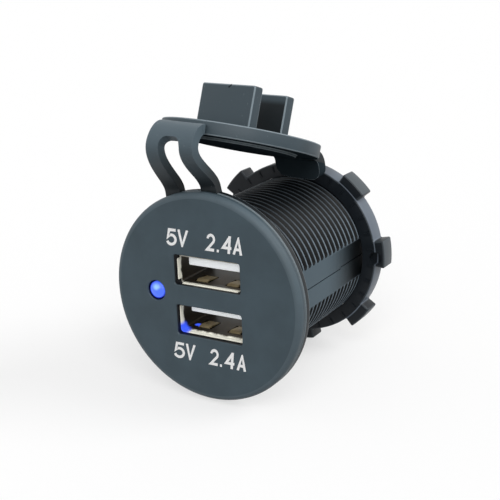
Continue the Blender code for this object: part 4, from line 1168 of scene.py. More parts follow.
@dataclass
class SubAssembly:
    """Pieces that are finished and seated in one way."""

    palette: Palette

    def seat(
        self,
        form: Form,
        name: str,
        body: Body,
        slot: str,
        *nodes: str,
        finish: str = "",
        crease: float = CREASE,
    ) -> None:
        """Make a form into a piece and seat it on its body, in the place of the frame's nodes.

        Args:
            form: The finished form.
            name: Name of the piece.
            body: Body that it rides on.
            slot: Material slot of the record that it takes its finish from.
            nodes: Nodes of the frame that it stands for.
            finish: Name of its finish, where that isn't the slot's.
            crease: Angle in degrees past which an edge stays crisp.
        """
        piece = form.piece(name, self.palette[finish or slot], crease)
        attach(piece, body.value)
        if nodes:
            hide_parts(*nodes)


@dataclass
class Fascia(SubAssembly):
    """Front plate: soft-edged flange, neck with its bead, two windows and a lamp hole."""

    radius: float = 0.0185
    thickness: float = 0.0017
    edge: float = 0.0010
    back_edge: float = 0.00015
    plate_radius: float = 0.0160
    neck_radius: float = 0.0125
    neck_inner: float = 0.0118
    neck_back: float = 0.0072
    bead_height: float = 0.0005
    bead: Point = (0.0052, 0.0062)
    window: Point = (0.01315, 0.00545)
    window_x: float = PORT_X
    window_heights: Point = (0.0046, -0.00445)
    window_corner: float = 0.0005
    window_bevel: float = 0.00012
    lamp_radius: float = 0.0018
    steps: int = 192
    corner_steps: int = 6
    lamp_steps: int = 48

    def opening(self, form: Form, y: float, grow: float) -> list[list[BMEdge]]:
        """Outlines of the two windows and the lamp hole at a depth.

        Args:
            form: The form that takes them.
            y: Depth behind the face.
            grow: How much wider than the hole itself they are on each side.

        Returns:
            Three loops of edges.
        """
        width = self.window[0] + 2 * grow
        height = self.window[1] + 2 * grow
        corner = self.window_corner + grow
        loops = [
            form.frame(width, height, corner, self.corner_steps, at(self.window_x, y, z))
            for z in self.window_heights
        ]
        place = at(LAMP_PLACE[0], y, LAMP_PLACE[1])
        loops.append(form.circle(self.lamp_radius + grow, self.lamp_steps, place))
        return loops

    def build(self) -> None:
        """Turn the body, fill its two flat faces and line the openings."""
        form = Form()
        bead_radius = self.neck_radius + self.bead_height
        outline = [
            (self.plate_radius, 0.0),
            (self.radius, 0.0),
            (self.radius, self.thickness),
            (self.neck_radius, self.thickness),
            (self.neck_radius, self.bead[0]),
            (bead_radius, self.bead[0]),
            (bead_radius, self.bead[1]),
            (self.neck_radius, self.bead[1]),
            (self.neck_radius, self.neck_back),
            (self.neck_inner, self.neck_back),
            (self.neck_inner, self.thickness),
        ]
        form.lathe(outline, self.steps)
        rim, middle = self.radius - self.edge / 2, self.thickness / 2
        form.soften(self.edge, 8, keep=lambda co: co.xz.length > rim and co.y < middle)
        form.soften(self.back_edge, 2, keep=lambda co: co.xz.length > rim and co.y > middle)
        form.soften(self.back_edge, 2, keep=lambda co: co.y > self.bead[0] / 2)
        open_edges = [edge for edge in form.work.edges if edge.is_boundary]
        front_rim = [edge for edge in open_edges if edge.verts[0].co.y < middle]
        back_rim = [edge for edge in open_edges if edge.verts[0].co.y > middle]
        depths = ((0.0, self.window_bevel), (self.window_bevel, 0.0), (self.thickness, 0.0))
        rows = [self.opening(form, y, grow) for y, grow in depths]
        for near, far in zip(rows, rows[1:]):
            for first, second in zip(near, far):
                form.bridge(first, second)
        form.fill(front_rim + [edge for loop in rows[0] for edge in loop])
        form.fill(back_rim + [edge for loop in rows[-1] for edge in loop])
        self.seat(form, "fascia_plate", Body.SOCKET, "fascia_plastic", "front_fascia")


def bowl(centre: Point, radii: Point, start: float, end: float) -> list[Point]:
    """Points along part of an upright ellipse between two angles in degrees."""
    turns = arc((0.0, 0.0), 1.0, start, end, 18)
    return [(centre[0] + radii[0] * x, centre[1] + radii[1] * z) for x, z in turns]


@dataclass
class Print(SubAssembly):
    """White rating figures beside each port, each glyph drawn in strokes of one weight."""

    depth: float = 0.00002
    weight: float = 0.00050
    lean: float = 0.12
    mitre: float = 2.6
    upper_feet: Point = (0.00883, 0.01188)
    lower_feet: Point = (-0.01174, -0.00870)
    upper_row: Sequence[tuple[str, float, float]] = (
        ("5", -0.00707, -0.00488), ("V", -0.00462, -0.00243), ("2", 0.00066, 0.00284),
        (".", 0.00305, 0.00350), ("4", 0.00388, 0.00598), ("A", 0.00612, 0.00796),
    )
    lower_row: Sequence[tuple[str, float, float]] = (
        ("5", -0.00688, -0.00456), ("V", -0.00426, -0.00222), ("2", 0.00026, 0.00245),
        (".", 0.00260, 0.00305), ("4", 0.00345, 0.00556), ("A", 0.00594, 0.00780),
    )

    @property
    def strokes(self) -> dict[str, list[list[Point]]]:
        """Centre lines of each glyph's strokes, in a box of one by one."""
        belly = bowl((0.47, 0.325), (0.53, 0.325), 118, -158)
        return {
            "5": [[(0.97, 1.0), (0.15, 1.0), (0.06, 0.52), *belly]],
            "2": [[*bowl((0.5, 0.71), (0.47, 0.29), 172, -32), (0.03, 0.0), (1.04, 0.0)]],
            "4": [[(0.76, -0.1), (0.76, 1.1)], [(0.80, 1.06), (0.02, 0.28), (1.06, 0.28)]],
            "V": [[(-0.05, 1.1), (0.5, 0.0), (1.05, 1.1)]],
            "A": [[(-0.05, -0.1), (0.5, 1.0), (1.05, -0.1)], [(0.18, 0.26), (0.82, 0.26)]],
            ".": [[(0.0, 0.5), (1.0, 0.5)]],
        }

    def ribbon(self, points: Sequence[Vector], weight: float) -> Form:
        """Flat band of even width along a line, with pointed corners.

        Args:
            points: The line's corners.
            weight: The band's width.

        Returns:
            The band, flat on the face.
        """
        form = Form()
        runs = [(second - first).normalized() for first, second in zip(points, points[1:])]
        sides = []
        for point, before, after in zip(points, runs[:1] + runs, runs + runs[-1:]):
            middle = (before + after).normalized()
            reach = min(1 / max(middle.dot(before), 1 / self.mitre), self.mitre) * weight / 2
            offset = Vector((middle.z, 0.0, -middle.x)) * reach
            sides.append([form.work.verts.new(point + way * offset) for way in (1, -1)])
        for (first, second), (third, fourth) in zip(sides, sides[1:]):
            form.work.faces.new((first, second, fourth, third))
        return form

    def stroke(self, line: Sequence[Vector], weight: float, foot: float, top: float) -> Form:
        """One stroke as a thin closed form, cut level at its glyph's foot and top."""
        band = self.ribbon(line, weight)
        for height, side in ((foot, -1), (top, 1)):
            band.divide(UP * height, UP * side, clear=True)
        moved = band.extrude(band.work.faces[:], -BACK * self.depth)
        low = [vert for vert in band.work.verts if vert not in moved]
        band.pull(low, BACK * self.depth)
        return band

    def glyph(self, letter: str, left: float, right: float, foot: float, top: float) -> Form:
        """One glyph as a thin closed form on the face, leaning to the right.

        Args:
            letter: The glyph.
            left: Place of its left edge.
            right: Place of its right edge.
            foot: Height of its foot.
            top: Height of its top; a point is as tall as it is wide.

        Returns:
            The glyph's form.
        """
        width = right - left
        weight, inset = self.weight, self.weight / 2
        if letter == ".":
            top, weight, inset = foot + width, width, 0.0
        wide, high = width - 2 * inset, top - foot - 2 * inset
        corner = Vector((left + inset, 0.0, foot + inset))
        bands = []
        for points in self.strokes[letter]:
            line = [corner + Vector((x * wide, 0.0, z * high)) for x, z in points]
            bands.append(self.stroke(line, weight, foot, top))
        whole = bands[0]
        for band in bands[1:]:
            whole.combine(band, Cut.JOIN)
        for vert in whole.work.verts:
            vert.co.x += self.lean * (vert.co.z - (foot + top) / 2)
        reached = [vert.co.x for vert in whole.work.verts]
        low, span = min(reached), max(reached) - min(reached)
        for vert in whole.work.verts:
            vert.co.x = left + (vert.co.x - low) * width / span
        return whole

    def build(self) -> None:
        """Print both rows."""
        rows = (
            ("upper", self.upper_row, self.upper_feet),
            ("lower", self.lower_row, self.lower_feet),
        )
        for label, row, feet in rows:
            for number, (letter, left, right) in enumerate(row, 1):
                form = self.glyph(letter, left, right, *feet)
                name = f"print_{label}_{number}"
                self.seat(form, name, Body.SOCKET, "fascia_plastic", finish="print_ink")


class Route:
    """Smooth line measured along its length, with a width direction that turns on the way."""

    def __init__(self, spans: Sequence[Sequence[Vector]], start: Vector, end: Vector) -> None:
        """Join Bezier spans into one line.

        Args:
            spans: For each span its start, its two handles and its end.
            start: Width direction at the line's start.
            end: Width direction at the line's end.
        """
        self.points: list[Vector] = []
        for span in spans:
            stretch = interpolate_bezier(*span, 60)
            self.points += stretch if not self.points else stretch[1:]
        self.lengths = [0.0]
        for first, second in zip(self.points, self.points[1:]):
            self.lengths.append(self.lengths[-1] + (second - first).length)
        self.start = start
        self.end = end

    @property
    def length(self) -> float:
        """Length of the whole line."""
        return self.lengths[-1]

    def place(self, across: float, along: float) -> Vector:
        """Point at a distance along the line and to one side of it."""
        index = 0
        while index < len(self.points) - 2 and self.lengths[index + 1] < along:
            index += 1
        start = self.points[index]
        share = (along - self.lengths[index]) / (self.lengths[index + 1] - self.lengths[index])
        turn = min(max(along / self.length, 0.0), 1.0)
        turn = turn * turn * (3 - 2 * turn)
        width = self.start.lerp(self.end, turn).normalized()
        return start + (self.points[index + 1] - start) * share + width * across


@dataclass
class Cover(SubAssembly):
    """Rubber flip cover: ring, twin straps with their web, and cap with plates and tab."""

    ring_inner: float = 0.0145
    ring_radius: float = 0.0185
    ring_front: float = 0.00185
    ring_back: float = 0.00335
    ring_edge: float = 0.0003
    ring_turn: float = math.radians(8.8)
    gap: float = 0.00015
    strap_thickness: float = 0.0016
    strap_pitch: float = 0.00735
    strap_width: float = 0.00275
    root_width: float = 0.0031
    root_flare: float = 0.0030
    strap_edge: float = 0.00038
    strap_step: float = 0.00036
    shoulder: float = 0.0012
    front: Point = (-0.00285, 0.0263)
    pulls: Triple = (0.0022, 0.0028, 0.0015)
    web: float = 0.0036
    slot_end: float = 0.0015
    overlap: float = 0.0005
    strap_cut_height: float = 0.02515
    lower_bend: tuple[Point, Point] = ((0.0030, 0.0187), (-0.0023, 0.0246))
    upper_bend: tuple[Point, Point] = ((-0.0029, 0.0260), (0.0010, 0.0296))
    cap_pose: Matrix = field(default_factory=lambda: CapPose().matrix)
    cap_radius: float = 0.01392
    cap_thickness: float = 0.00234
    cap_edge: float = 0.0002
    raised_radius: float = 0.0100
    raised_height: float = 0.00045
    plate: Triple = (0.0122, 0.00209, 0.00735)
    plate_pitch: float = 0.0085
    plate_middle: float = -0.00007
    plate_corner: float = 0.0004
    plate_edge: float = 0.00022
    plate_root: float = 0.0008
    nick_x: float = 0.0006
    nick: Sequence[Point] = (
        (-0.00060, -0.00062), (-0.00030, -0.00068), (0.00036, 0.00010), (0.00008, 0.00010),
    )
    nick_depth: float = 0.0006
    tab_x: float = 0.0006
    tab_width: float = 0.0104
    tab_thickness: float = 0.0019
    tab_length: float = 0.0060
    tab_root: float = 0.0020
    tab_bend_radius: float = 0.0030
    tab_bend: float = math.radians(62.0)
    tab_corner: float = 0.0022
    tab_step: float = 0.0005
    steps: int = 192

    def route(self) -> Route:
        """Centre line of the strap pair: up from the ring, forward in an S, back to the cap."""
        radial = Vector((-math.sin(self.ring_turn), 0.0, math.cos(self.ring_turn)))
        tangent = Vector((math.cos(self.ring_turn), 0.0, math.sin(self.ring_turn)))
        ring_middle = Vector((0.0, (self.ring_front + self.ring_back) / 2, 0.0))
        root = radial * (self.ring_radius + self.gap) + ring_middle
        cap = self.cap_pose
        back = cap.col[1].to_3d()
        seat = self.strap_thickness / 2 - self.cap_thickness
        rim = cap @ Vector((0.0, -self.cap_radius - self.gap, seat))
        front = Vector(((root.x + rim.x) / 2, *self.front))
        first, second, third = self.pulls
        lower = (root, root + radial * first, front - UP * second, front)
        upper = (front, front + UP * third, rim - back * third, rim)
        return Route((lower, upper), tangent, cap.col[0].to_3d())

    def outline(self, length: float) -> list[Point]:
        """Flat outline of the straps and their web, with both ends sunk into their seats.

        Args:
            length: Length of the strap line from ring to cap.

        Returns:
            Points as (across, along).
        """
        half = (self.strap_pitch + self.strap_width) / 2
        slot = (self.strap_pitch - self.strap_width) / 2
        wide = (self.root_width - self.strap_width) / 2
        top = length - self.web
        sink = self.overlap + self.gap

        def beside(radius: float, across: float) -> float:
            """How far a circle falls away beside the centre line."""
            return radius - math.sqrt(radius**2 - across**2)

        def root_edge(start: float, stop: float) -> list[Point]:
            """Points along the ring, from one side of a strap to the other."""
            spots = [start + (stop - start) * step / 6 for step in range(7)]
            return [(across, -beside(self.ring_radius, across) - sink) for across in spots]

        reach = half - self.shoulder
        spots = [reach - 2 * reach * step / 16 for step in range(17)]
        shoulder_y = length + beside(self.cap_radius, reach) - self.shoulder
        end = self.slot_end
        return [
            *root_edge(slot - wide, half + wide),
            (half, self.root_flare),
            *arc((reach, shoulder_y), self.shoulder, 0, 90, 6)[:-1],
            *[(across, length + beside(self.cap_radius, across) + sink) for across in spots],
            *arc((-reach, shoulder_y), self.shoulder, 90, 180, 6)[1:],
            (-half, self.root_flare),
            *root_edge(-half - wide, -slot + wide),
            (-slot, self.root_flare),
            *arc((end - slot, top - end), end, 180, 90, 8),
            *arc((slot - end, top - end), end, 90, 0, 8),
            (slot, self.root_flare),
        ]

    @staticmethod
    def bent(
        outline: Sequence[Point], route: Route, step: float, thickness: float, edge: float
    ) -> Form:
        """Flat sheet cut to an outline, bent along a route, thickened and softened.

        Args:
            outline: Points as (across, along).
            route: Line that the sheet follows.
            step: Spacing of the rows and columns of the sheet.
            thickness: Thickness of the finished sheet.
            edge: Width of its rounded edges.

        Returns:
            The closed form.
        """
        form = Form()
        form.work.faces.new([form.work.verts.new((*point, 0.0)) for point in outline])
        for axis in (0, 1):
            lowest = min(point[axis] for point in outline)
            highest = max(point[axis] for point in outline)
            rows = math.ceil((highest - lowest) / step)
            normal = Vector((1.0 - axis, float(axis), 0.0))
            for row in range(1, rows):
                form.divide(normal * (lowest + (highest - lowest) * row / rows), normal)
        form.merge()
        for vert in form.work.verts:
            vert.co = route.place(vert.co.x, vert.co.y)
        form.thicken(thickness)
        form.soften(edge, 4, 55.0)
        return form

    def build_ring(self) -> None:
        """Ring that seats against the panel, with soft outer edges."""
        form = Form()
        corners = [
            (self.ring_inner, self.ring_back),
            (self.ring_radius, self.ring_back),
            (self.ring_radius, self.ring_front),
            (self.ring_inner, self.ring_front),
        ]
        form.lathe(corners, self.steps, closed=True)
        middle = (self.ring_inner + self.ring_radius) / 2
        form.soften(self.ring_edge, 4, keep=lambda co: co.xz.length > middle)
        self.seat(form, "rubber_ring", Body.SOCKET, "cover_rubber", "cover_ring")

    def build_straps(self) -> None:
        """Straps in two pieces, each bending across one joint and meeting between them."""
        route = self.route()
        outline = self.outline(route.length)
        whole = self.bent(outline, route, self.strap_step, self.strap_thickness, self.strap_edge)
        halves = (
            ("strap_lower", UP, Body.SOCKET, Body.STRAPS, self.lower_bend),
            ("strap_upper", -UP, Body.STRAPS, Body.CAP, self.upper_bend),
        )
        for name, normal, first, second, (start, end) in halves:
            form = whole.copy()
            form.divide(UP * self.strap_cut_height, normal, clear=True)
            form.close()
            piece = form.piece(name, self.palette["cover_rubber"])
            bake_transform(piece, first.value, second.value, start=(0.0, *start), end=(0.0, *end))
            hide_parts("cover_straps")
        whole.work.free()

    def plate_form(self, middle: float, nicked: bool) -> Form:
        """One plug plate standing on the cap, in the cap's own frame.

        Args:
            middle: Its place across the cap.
            nicked: Whether its top has the small slanting nick.

        Returns:
            The closed form.
        """
        form = Form()
        width, thickness, height = self.plate
        front, back = middle - thickness / 2, middle + thickness / 2
        form.block((-width / 2, front, -self.plate_root), (width / 2, back, height))
        corners = [
            edge
            for edge in form.work.edges
            if all(vert.co.z > height / 2 for vert in edge.verts)
            and abs(edge.verts[0].co.x - edge.verts[1].co.x) < MERGE_DISTANCE
        ]
        form.bevel(corners, self.plate_corner, 5)
        form.soften(self.plate_edge, 3, 55.0)
        if nicked:
            wedge = Form()
            y = front - self.nick_depth
            spots = [(self.nick_x + x, y, height + z) for x, z in self.nick]
            face = wedge.work.faces.new([wedge.work.verts.new(spot) for spot in spots])
            wedge.extrude([face], BACK * 2 * self.nick_depth)
            form.combine(wedge, Cut.REMOVE)
        return form

    def tab_form(self) -> Form:
        """Pull tab: a short tongue that leaves the disc's edge and turns down."""
        pose = self.cap_pose
        middle = -self.cap_thickness / 2
        start = Vector((self.tab_x, self.cap_radius - self.tab_root, middle))
        bend = Vector((self.tab_x, self.cap_radius, middle))
        rise = self.tab_bend_radius * math.tan(self.tab_bend / 2)
        knee = bend + Vector((0.0, rise, 0.0))
        tip = knee + Vector((0.0, math.cos(self.tab_bend), -math.sin(self.tab_bend))) * rise
        spans = [
            (start, start.lerp(bend, 1 / 3), start.lerp(bend, 2 / 3), bend),
            (bend, bend.lerp(knee, 2 / 3), tip.lerp(knee, 2 / 3), tip),
        ]
        across = pose.col[0].to_3d()
        route = Route([[pose @ point for point in span] for span in spans], across, across)
        half = self.tab_width / 2
        corner = self.tab_corner
        total = self.tab_root + self.tab_length
        outline = [
            (-half, 0.0),
            (half, 0.0),
            *arc((half - corner, total - corner), corner, 0, 90, 8),
            *arc((corner - half, total - corner), corner, 90, 180, 8),
        ]
        return self.bent(outline, route, self.tab_step, self.tab_thickness, self.cap_edge)

    def build_cap(self) -> None:
        """Disc, its two plates and its tab, joined into one moulding."""
        form = Form()
        rim, raised = -self.cap_thickness, -self.cap_thickness - self.raised_height
        disc = [
            (0.0, 0.0),
            (self.cap_radius, 0.0),
            (self.cap_radius, rim),
            (self.raised_radius, rim),
            (self.raised_radius, raised),
            (0.0, raised),
        ]
        form.lathe(disc, self.steps)
        form.soften(self.cap_edge, 3)
        form.place(self.cap_pose @ FACING_FRONT @ Matrix.Rotation(math.pi, 4, "Y"))
        for side in SIDES:
            plate = self.plate_form(self.plate_middle + side * self.plate_pitch / 2, side < 0)
            plate.place(self.cap_pose)
            form.combine(plate, Cut.JOIN)
        form.combine(self.tab_form(), Cut.JOIN)
        self.seat(form, "rubber_cap", Body.CAP, "cover_rubber", "cover_cap", finish="cap_rubber")

    def build(self) -> None:
        """Build the whole cover."""
        self.build_ring()
        self.build_straps()
        self.build_cap()


@dataclass
class Barrel(SubAssembly):
    """Two half shells with a moulded thread that runs out on flats at 3 and 9 o'clock."""

    front: float = 0.0020
    back: float = 0.0383
    crest_radius: float = 0.0142
    root_radius: float = 0.0136
    flat: float = 0.01365
    bar_height: float = 0.0072
    inner_radius: float = 0.0128
    pitch: float = 0.001555
    first_crest: float = 0.0103
    crest_width: float = 0.00022
    flank_width: float = 0.00040
    collar: float = 0.0046
    crest_edge: float = 0.00008
    parting_gap: float = 0.0002
    step_y: float = 0.0245
    step_height: float = 0.00025
    half_steps: int = 96
    spare_teeth: int = 2

    def tooth_line(self, start: float, teeth: int) -> list[Point]:
        """Section of the thread as (radius, y), from the middle of its first tooth on."""
        foot = self.crest_width / 2 + self.flank_width
        points = []
        for tooth in range(teeth):
            middle = start + tooth * self.pitch
            points += [
                (self.root_radius, middle - foot),
                (self.crest_radius, middle - self.crest_width / 2),
                (self.crest_radius, middle + self.crest_width / 2),
                (self.root_radius, middle + foot),
            ]
        return points

    def skin(self, half: Half) -> Form:
        """Outer skin of one half: thread swept as a helix from one parting to the other.

        Args:
            half: Which half it is.

        Returns:
            The open skin.
        """
        form = Form()
        before = math.ceil((self.first_crest - self.front) / self.pitch) + self.spare_teeth
        teeth = math.ceil((self.back - self.front) / self.pitch) + 2 * self.spare_teeth + 1
        start = self.first_crest - before * self.pitch
        edges = form.line(section(self.tooth_line(start, teeth)))
        quarter = Matrix.Rotation(-half.value * math.pi / 2, 4, "Y")
        form.place(Matrix.Translation(-BACK * half.value * self.pitch / 4) @ quarter)
        form.turn(edges, self.half_steps, math.pi, self.pitch / 2)
        form.merge()
        crest = self.crest_radius - (self.crest_radius - self.root_radius) / 4
        form.soften(self.crest_edge, 2, 20.0, keep=lambda co: co.xz.length > crest)
        form.divide(BACK * self.front, -BACK, clear=True)
        form.divide(BACK * self.back, BACK, clear=True)
        return form

    def flatten(self, vert: BMVert) -> None:
        """Bring a point of the skin to the collar, the stepped parting or the flat bar."""
        stepped = vert.co.y > self.step_y + self.parting_gap / 2 and vert.co.x > 0.0
        if stepped and abs(vert.co.z) < self.parting_gap:
            vert.co.z += self.step_height
        if vert.co.y < self.collar:
            to_radius(vert, self.root_radius)
        if abs(vert.co.z) < self.bar_height / 2 or abs(vert.co.x) > self.flat:
            vert.co.x = math.copysign(self.flat, vert.co.x)

    def build_half(self, half: Half) -> None:
        """One half shell, from its skin inwards."""
        form = self.skin(half)
        up = UP * half.value
        form.divide(up * self.parting_gap / 2, -up, clear=True)
        form.divide(up * self.bar_height / 2, UP)
        for y in (self.step_y, self.step_y + self.parting_gap):
            form.divide(BACK * y, BACK)
        for vert in form.work.verts:
            self.flatten(vert)
        for vert in form.extrude(form.work.faces[:]):
            height = vert.co.z
            to_radius(vert, self.inner_radius)
            if abs(height) < 2 * self.step_height:
                vert.co.z = height
        name = f"barrel_{half.name.lower()}"
        self.seat(
            form, f"{name}_half", Body.SOCKET, "barrel_plastic", f"{name}_shell", crease=16.0
        )

    def build(self) -> None:
        """Build both halves."""
        for half in Half:
            self.build_half(half)


@dataclass
class RingNut(SubAssembly):
    """Eight-lug ring nut with a ribbed front face and a round dimple in one lug."""

    front: float = 0.0327
    back: float = 0.0364
    bore_radius: float = 0.01427
    rim_radius: float = 0.01684
    lug_radius: float = 0.01871
    lugs: int = 8
    lug_angle: float = math.radians(16.6)
    turn: float = math.radians(2.7)
    edge: float = 0.00030
    lug_steps: int = 6
    rim_steps: int = 10
    rib_count: int = 32
    rib: Triple = (0.0012, 0.00034, 0.00018)
    rib_radius: float = 0.0159
    dimple_radius: float = 0.0012
    dimple_depth: float = 0.0012

    def ribs(self) -> Form:
        """Short radial ribs on the front face, as one tool."""
        form = Form()
        length, width, height = self.rib
        corner = Vector((length / 2, height, width / 2))
        out = Matrix.Translation((self.rib_radius, self.front, 0.0))
        for number in range(self.rib_count):
            angle = -FULL_TURN * (number + 0.5) / self.rib_count
            form.place(Matrix.Rotation(angle, 4, "Y") @ out, form.block(-corner, corner))
        return form

    def build(self) -> None:
        """Sweep the ring sector by sector, pull its lugs out and add ribs and dimple."""
        form = Form()
        corners = section([
            (self.bore_radius, self.front),
            (self.rim_radius, self.front),
            (self.rim_radius, self.back),
            (self.bore_radius, self.back),
        ])
        edges = form.line(corners, closed=True)
        start = math.pi / 2 - self.turn + self.lug_angle / 2
        form.place(Matrix.Rotation(start, 4, "Y"))
        sector = FULL_TURN / self.lugs
        middle = (self.rim_radius + self.bore_radius) / 2
        lug_faces: list[BMFace] = []
        for _ in range(self.lugs):
            before = set(form.work.faces)
            edges = form.turn(edges, self.lug_steps, -self.lug_angle)
            swept = set(form.work.faces) - before
            outer = [face for face in swept if all(v.co.xz.length > middle for v in face.verts)]
            lug_faces += outer
            edges = form.turn(edges, self.rim_steps, self.lug_angle - sector)
        for vert in form.extrude(lug_faces):
            to_radius(vert, self.lug_radius)
        covered = [face for face in lug_faces if face.is_valid]
        bmesh.ops.delete(form.work, geom=covered, context="FACES_ONLY")
        form.merge()
        form.turn_outwards()
        form.soften(self.edge, 3, 40.0, keep=lambda co: co.xz.length > middle)
        form.combine(self.ribs(), Cut.JOIN)
        dimple = Form()
        bmesh.ops.create_cone(
            dimple.work,
            cap_ends=True,
            segments=40,
            radius1=self.dimple_radius,
            radius2=self.dimple_radius,
            depth=2 * self.dimple_depth,
            matrix=at(self.rim_radius, self.front, 0.0),
        )
        form.combine(dimple, Cut.REMOVE)
        self.seat(form, "lugged_ring_nut", Body.NUT, "nut_plastic", "mounting_nut", crease=40.0)


@dataclass
class Receptacle(SubAssembly):
    """One USB-A receptacle: shell with a lip and spring fingers, tongue and four contacts."""

    level: Level
    lip_shift: float
    notched_ends: tuple[int, ...]
    middle_x: float = PORT_X
    width: float = 0.0125
    height: float = 0.00512
    corner: float = 0.0004
    wall: float = 0.0003
    lip_wall: float = 0.00022
    front: float = 0.0018
    back: float = 0.0157
    lip_front: float = 0.0009
    lip_drop: float = 0.00016
    notch: float = 0.0007
    finger_width: float = 0.0022
    finger_window: Point = (0.0030, 0.0034)
    finger_front: float = 0.0013
    finger_spacing: float = 0.0062
    finger_rise: float = 0.0003
    finger_thickness: float = 0.00022
    finger_line: Sequence[Point] = (
        (0.2, 0.0), (-0.1, 0.02), (-0.4, 0.55), (-0.7, 1.0), (-0.85, 0.95), (-1.0, 0.3),
    )
    tongue_width: float = 0.0111
    tongue_thickness: float = 0.0016
    tongue_front: float = 0.0031
    tongue_lift: float = 0.0002
    tongue_edge: float = 0.0002
    block_length: float = 0.0040
    clearance: float = 0.0001
    contact_width: float = 0.0010
    contact_thickness: float = 0.00025
    contact_setback: float = 0.0006
    contact_places: tuple[float, ...] = (-0.0035, -0.0010, 0.0010, 0.0035)
    contact_back: float = 0.0182
    contact_bow: Sequence[Point] = (
        (0.0, 0.0), (0.0006, 0.0), (0.0016, 0.00009),
        (0.0030, 0.00013), (0.0046, 0.00009), (0.0062, 0.0),
    )

    @property
    def label(self) -> str:
        """The receptacle's name in the frame."""
        return self.level.name.lower()

    @property
    def floor(self) -> float:
        """Height of the shell's floor."""
        return self.level.value - self.height / 2

    def finger_place(self, side: int) -> float:
        """Middle of the left (-1) or the right (1) finger, across the shell."""
        return self.middle_x + side * self.finger_spacing / 2

    def tube(self) -> Form:
        """Open tube with its lip set forward and stepped in at the front."""
        form = Form()
        rows = (
            (self.lip_front, self.lip_drop),
            (self.front - self.clearance, self.lip_drop),
            (self.front + self.clearance, 0.0),
            (self.back, 0.0),
        )
        loops = []
        for y, drop in rows:
            middle_z = self.level.value + (self.lip_shift if drop else 0.0)
            place = at(self.middle_x, y, middle_z)
            loops.append(form.frame(self.width, self.height - 2 * drop, self.corner, 5, place))
        for first, second in zip(loops, loops[1:]):
            form.bridge(first, second)
        form.merge()
        form.thicken(self.lip_wall, 1.0)
        form.soften(self.lip_wall / 3, 2, 60.0)
        return form

    def notch_corners(self, form: Form) -> None:
        """Take square notches out of the lip's corners."""
        half_x, half_z = self.width / 2 + self.wall, self.height / 2 + self.wall
        depth = self.notch + self.wall
        front = self.lip_front - self.clearance
        for side in SIDES:
            for end in self.notched_ends:
                x, z = self.middle_x + side * half_x, self.level.value + end * half_z
                form.hollow((x, front, z), (x - side * depth, self.front, z - end * depth))

    def cut_windows(self, form: Form) -> None:
        """Open the floor above the two fingers."""
        half, length = self.finger_window[0] / 2, self.finger_window[1]
        low, high = self.floor - 2 * self.wall, self.floor + self.wall
        front = self.front + self.finger_front
        for side in SIDES:
            x = self.finger_place(side)
            form.hollow((x - half, front, low), (x + half, front + length, high))

    def build_shell(self) -> None:
        """Shell with notched corners, and two fingers sprung up from its floor."""
        form = self.tube()
        self.notch_corners(form)
        self.cut_windows(form)
        node = f"usb_shell_{self.label}"
        self.seat(form, f"port_shell_{self.label}", Body.SOCKET, "port_steel", node, crease=45.0)
        for side, way in zip(SIDES, ("left", "right")):
            finger, name = self.finger(side), f"port_spring_{self.label}_{way}"
            self.seat(finger, name, Body.SOCKET, "port_steel", node, finish="spring_steel")

    def finger(self, side: int) -> Form:
        """Sheet finger that rises from the back of its window and dips at its tip.

        Args:
            side: -1 for the left one, 1 for the right one.

        Returns:
            The closed form.
        """
        left = self.finger_place(side) - self.finger_width / 2
        root = self.front + self.finger_front + self.finger_window[1]
        length = self.finger_window[1] - self.clearance
        seat = self.floor - self.wall / 2
        line = [
            (left, root + share * length, seat + lift * self.finger_rise)
            for share, lift in self.finger_line
        ]
        form = Form()
        form.strip(line, self.finger_width)
        form.thicken(self.finger_thickness)
        return form

    def build_tongue(self) -> None:
        """Tongue and rear block as one moulding, with grooves for the contacts."""
        form = Form()
        gap = self.clearance
        underside = self.level.value + self.tongue_lift
        half = self.tongue_width / 2
        low = (self.middle_x - half, self.tongue_front, underside)
        top = underside + self.tongue_thickness
        form.block(low, (self.middle_x + half, self.back - self.block_length / 2, top))
        form.soften(self.tongue_edge, 4)
        block = Form()
        width, height = self.width / 2 - gap, self.height / 2 - gap
        low = (self.middle_x - width, self.back - self.block_length, self.level.value - height)
        block.block(low, (self.middle_x + width, self.back, self.level.value + height))
        block.soften(self.corner, 3)
        form.combine(block, Cut.JOIN)
        front = self.tongue_front + self.contact_setback - gap
        ceiling = underside + self.contact_thickness + 2 * gap
        for x in self.contact_places:
            left = self.middle_x + x - self.contact_width / 2 - gap
            right = left + self.contact_width + 2 * gap
            form.hollow((left, front, underside - gap), (right, self.back + gap, ceiling))
        name, node = f"port_tongue_{self.label}", f"usb_tongue_{self.label}"
        self.seat(form, name, Body.SOCKET, "white_insulator", node, crease=40.0)

    def build_contact(self, number: int, x: float) -> None:
        """Gold strip in its groove, bowed down under the tongue to meet a plug.

        Args:
            number: Its number from the left.
            x: Its place across the tongue.
        """
        seat = self.level.value + self.tongue_lift + self.clearance + self.contact_thickness / 2
        start = self.tongue_front + self.contact_setback
        stations = [(start + y, seat - drop) for y, drop in self.contact_bow]
        stations.append((self.contact_back, seat))
        left = self.middle_x + x - self.contact_width / 2
        form = Form()
        form.strip([(left, y, z) for y, z in stations], self.contact_width)
        form.thicken(self.contact_thickness * 0.8)
        form.soften(self.contact_thickness / 8, 1, 60.0)
        name = f"contact_{self.label}_{number}"
        self.seat(form, f"port_{name}", Body.SOCKET, "gold_contact", f"usb_{name}")

    def build(self) -> None:
        """Build the shell, the tongue and its contacts."""
        self.build_shell()
        self.build_tongue()
        for number, x in enumerate(self.contact_places, 1):
            self.build_contact(number, x)


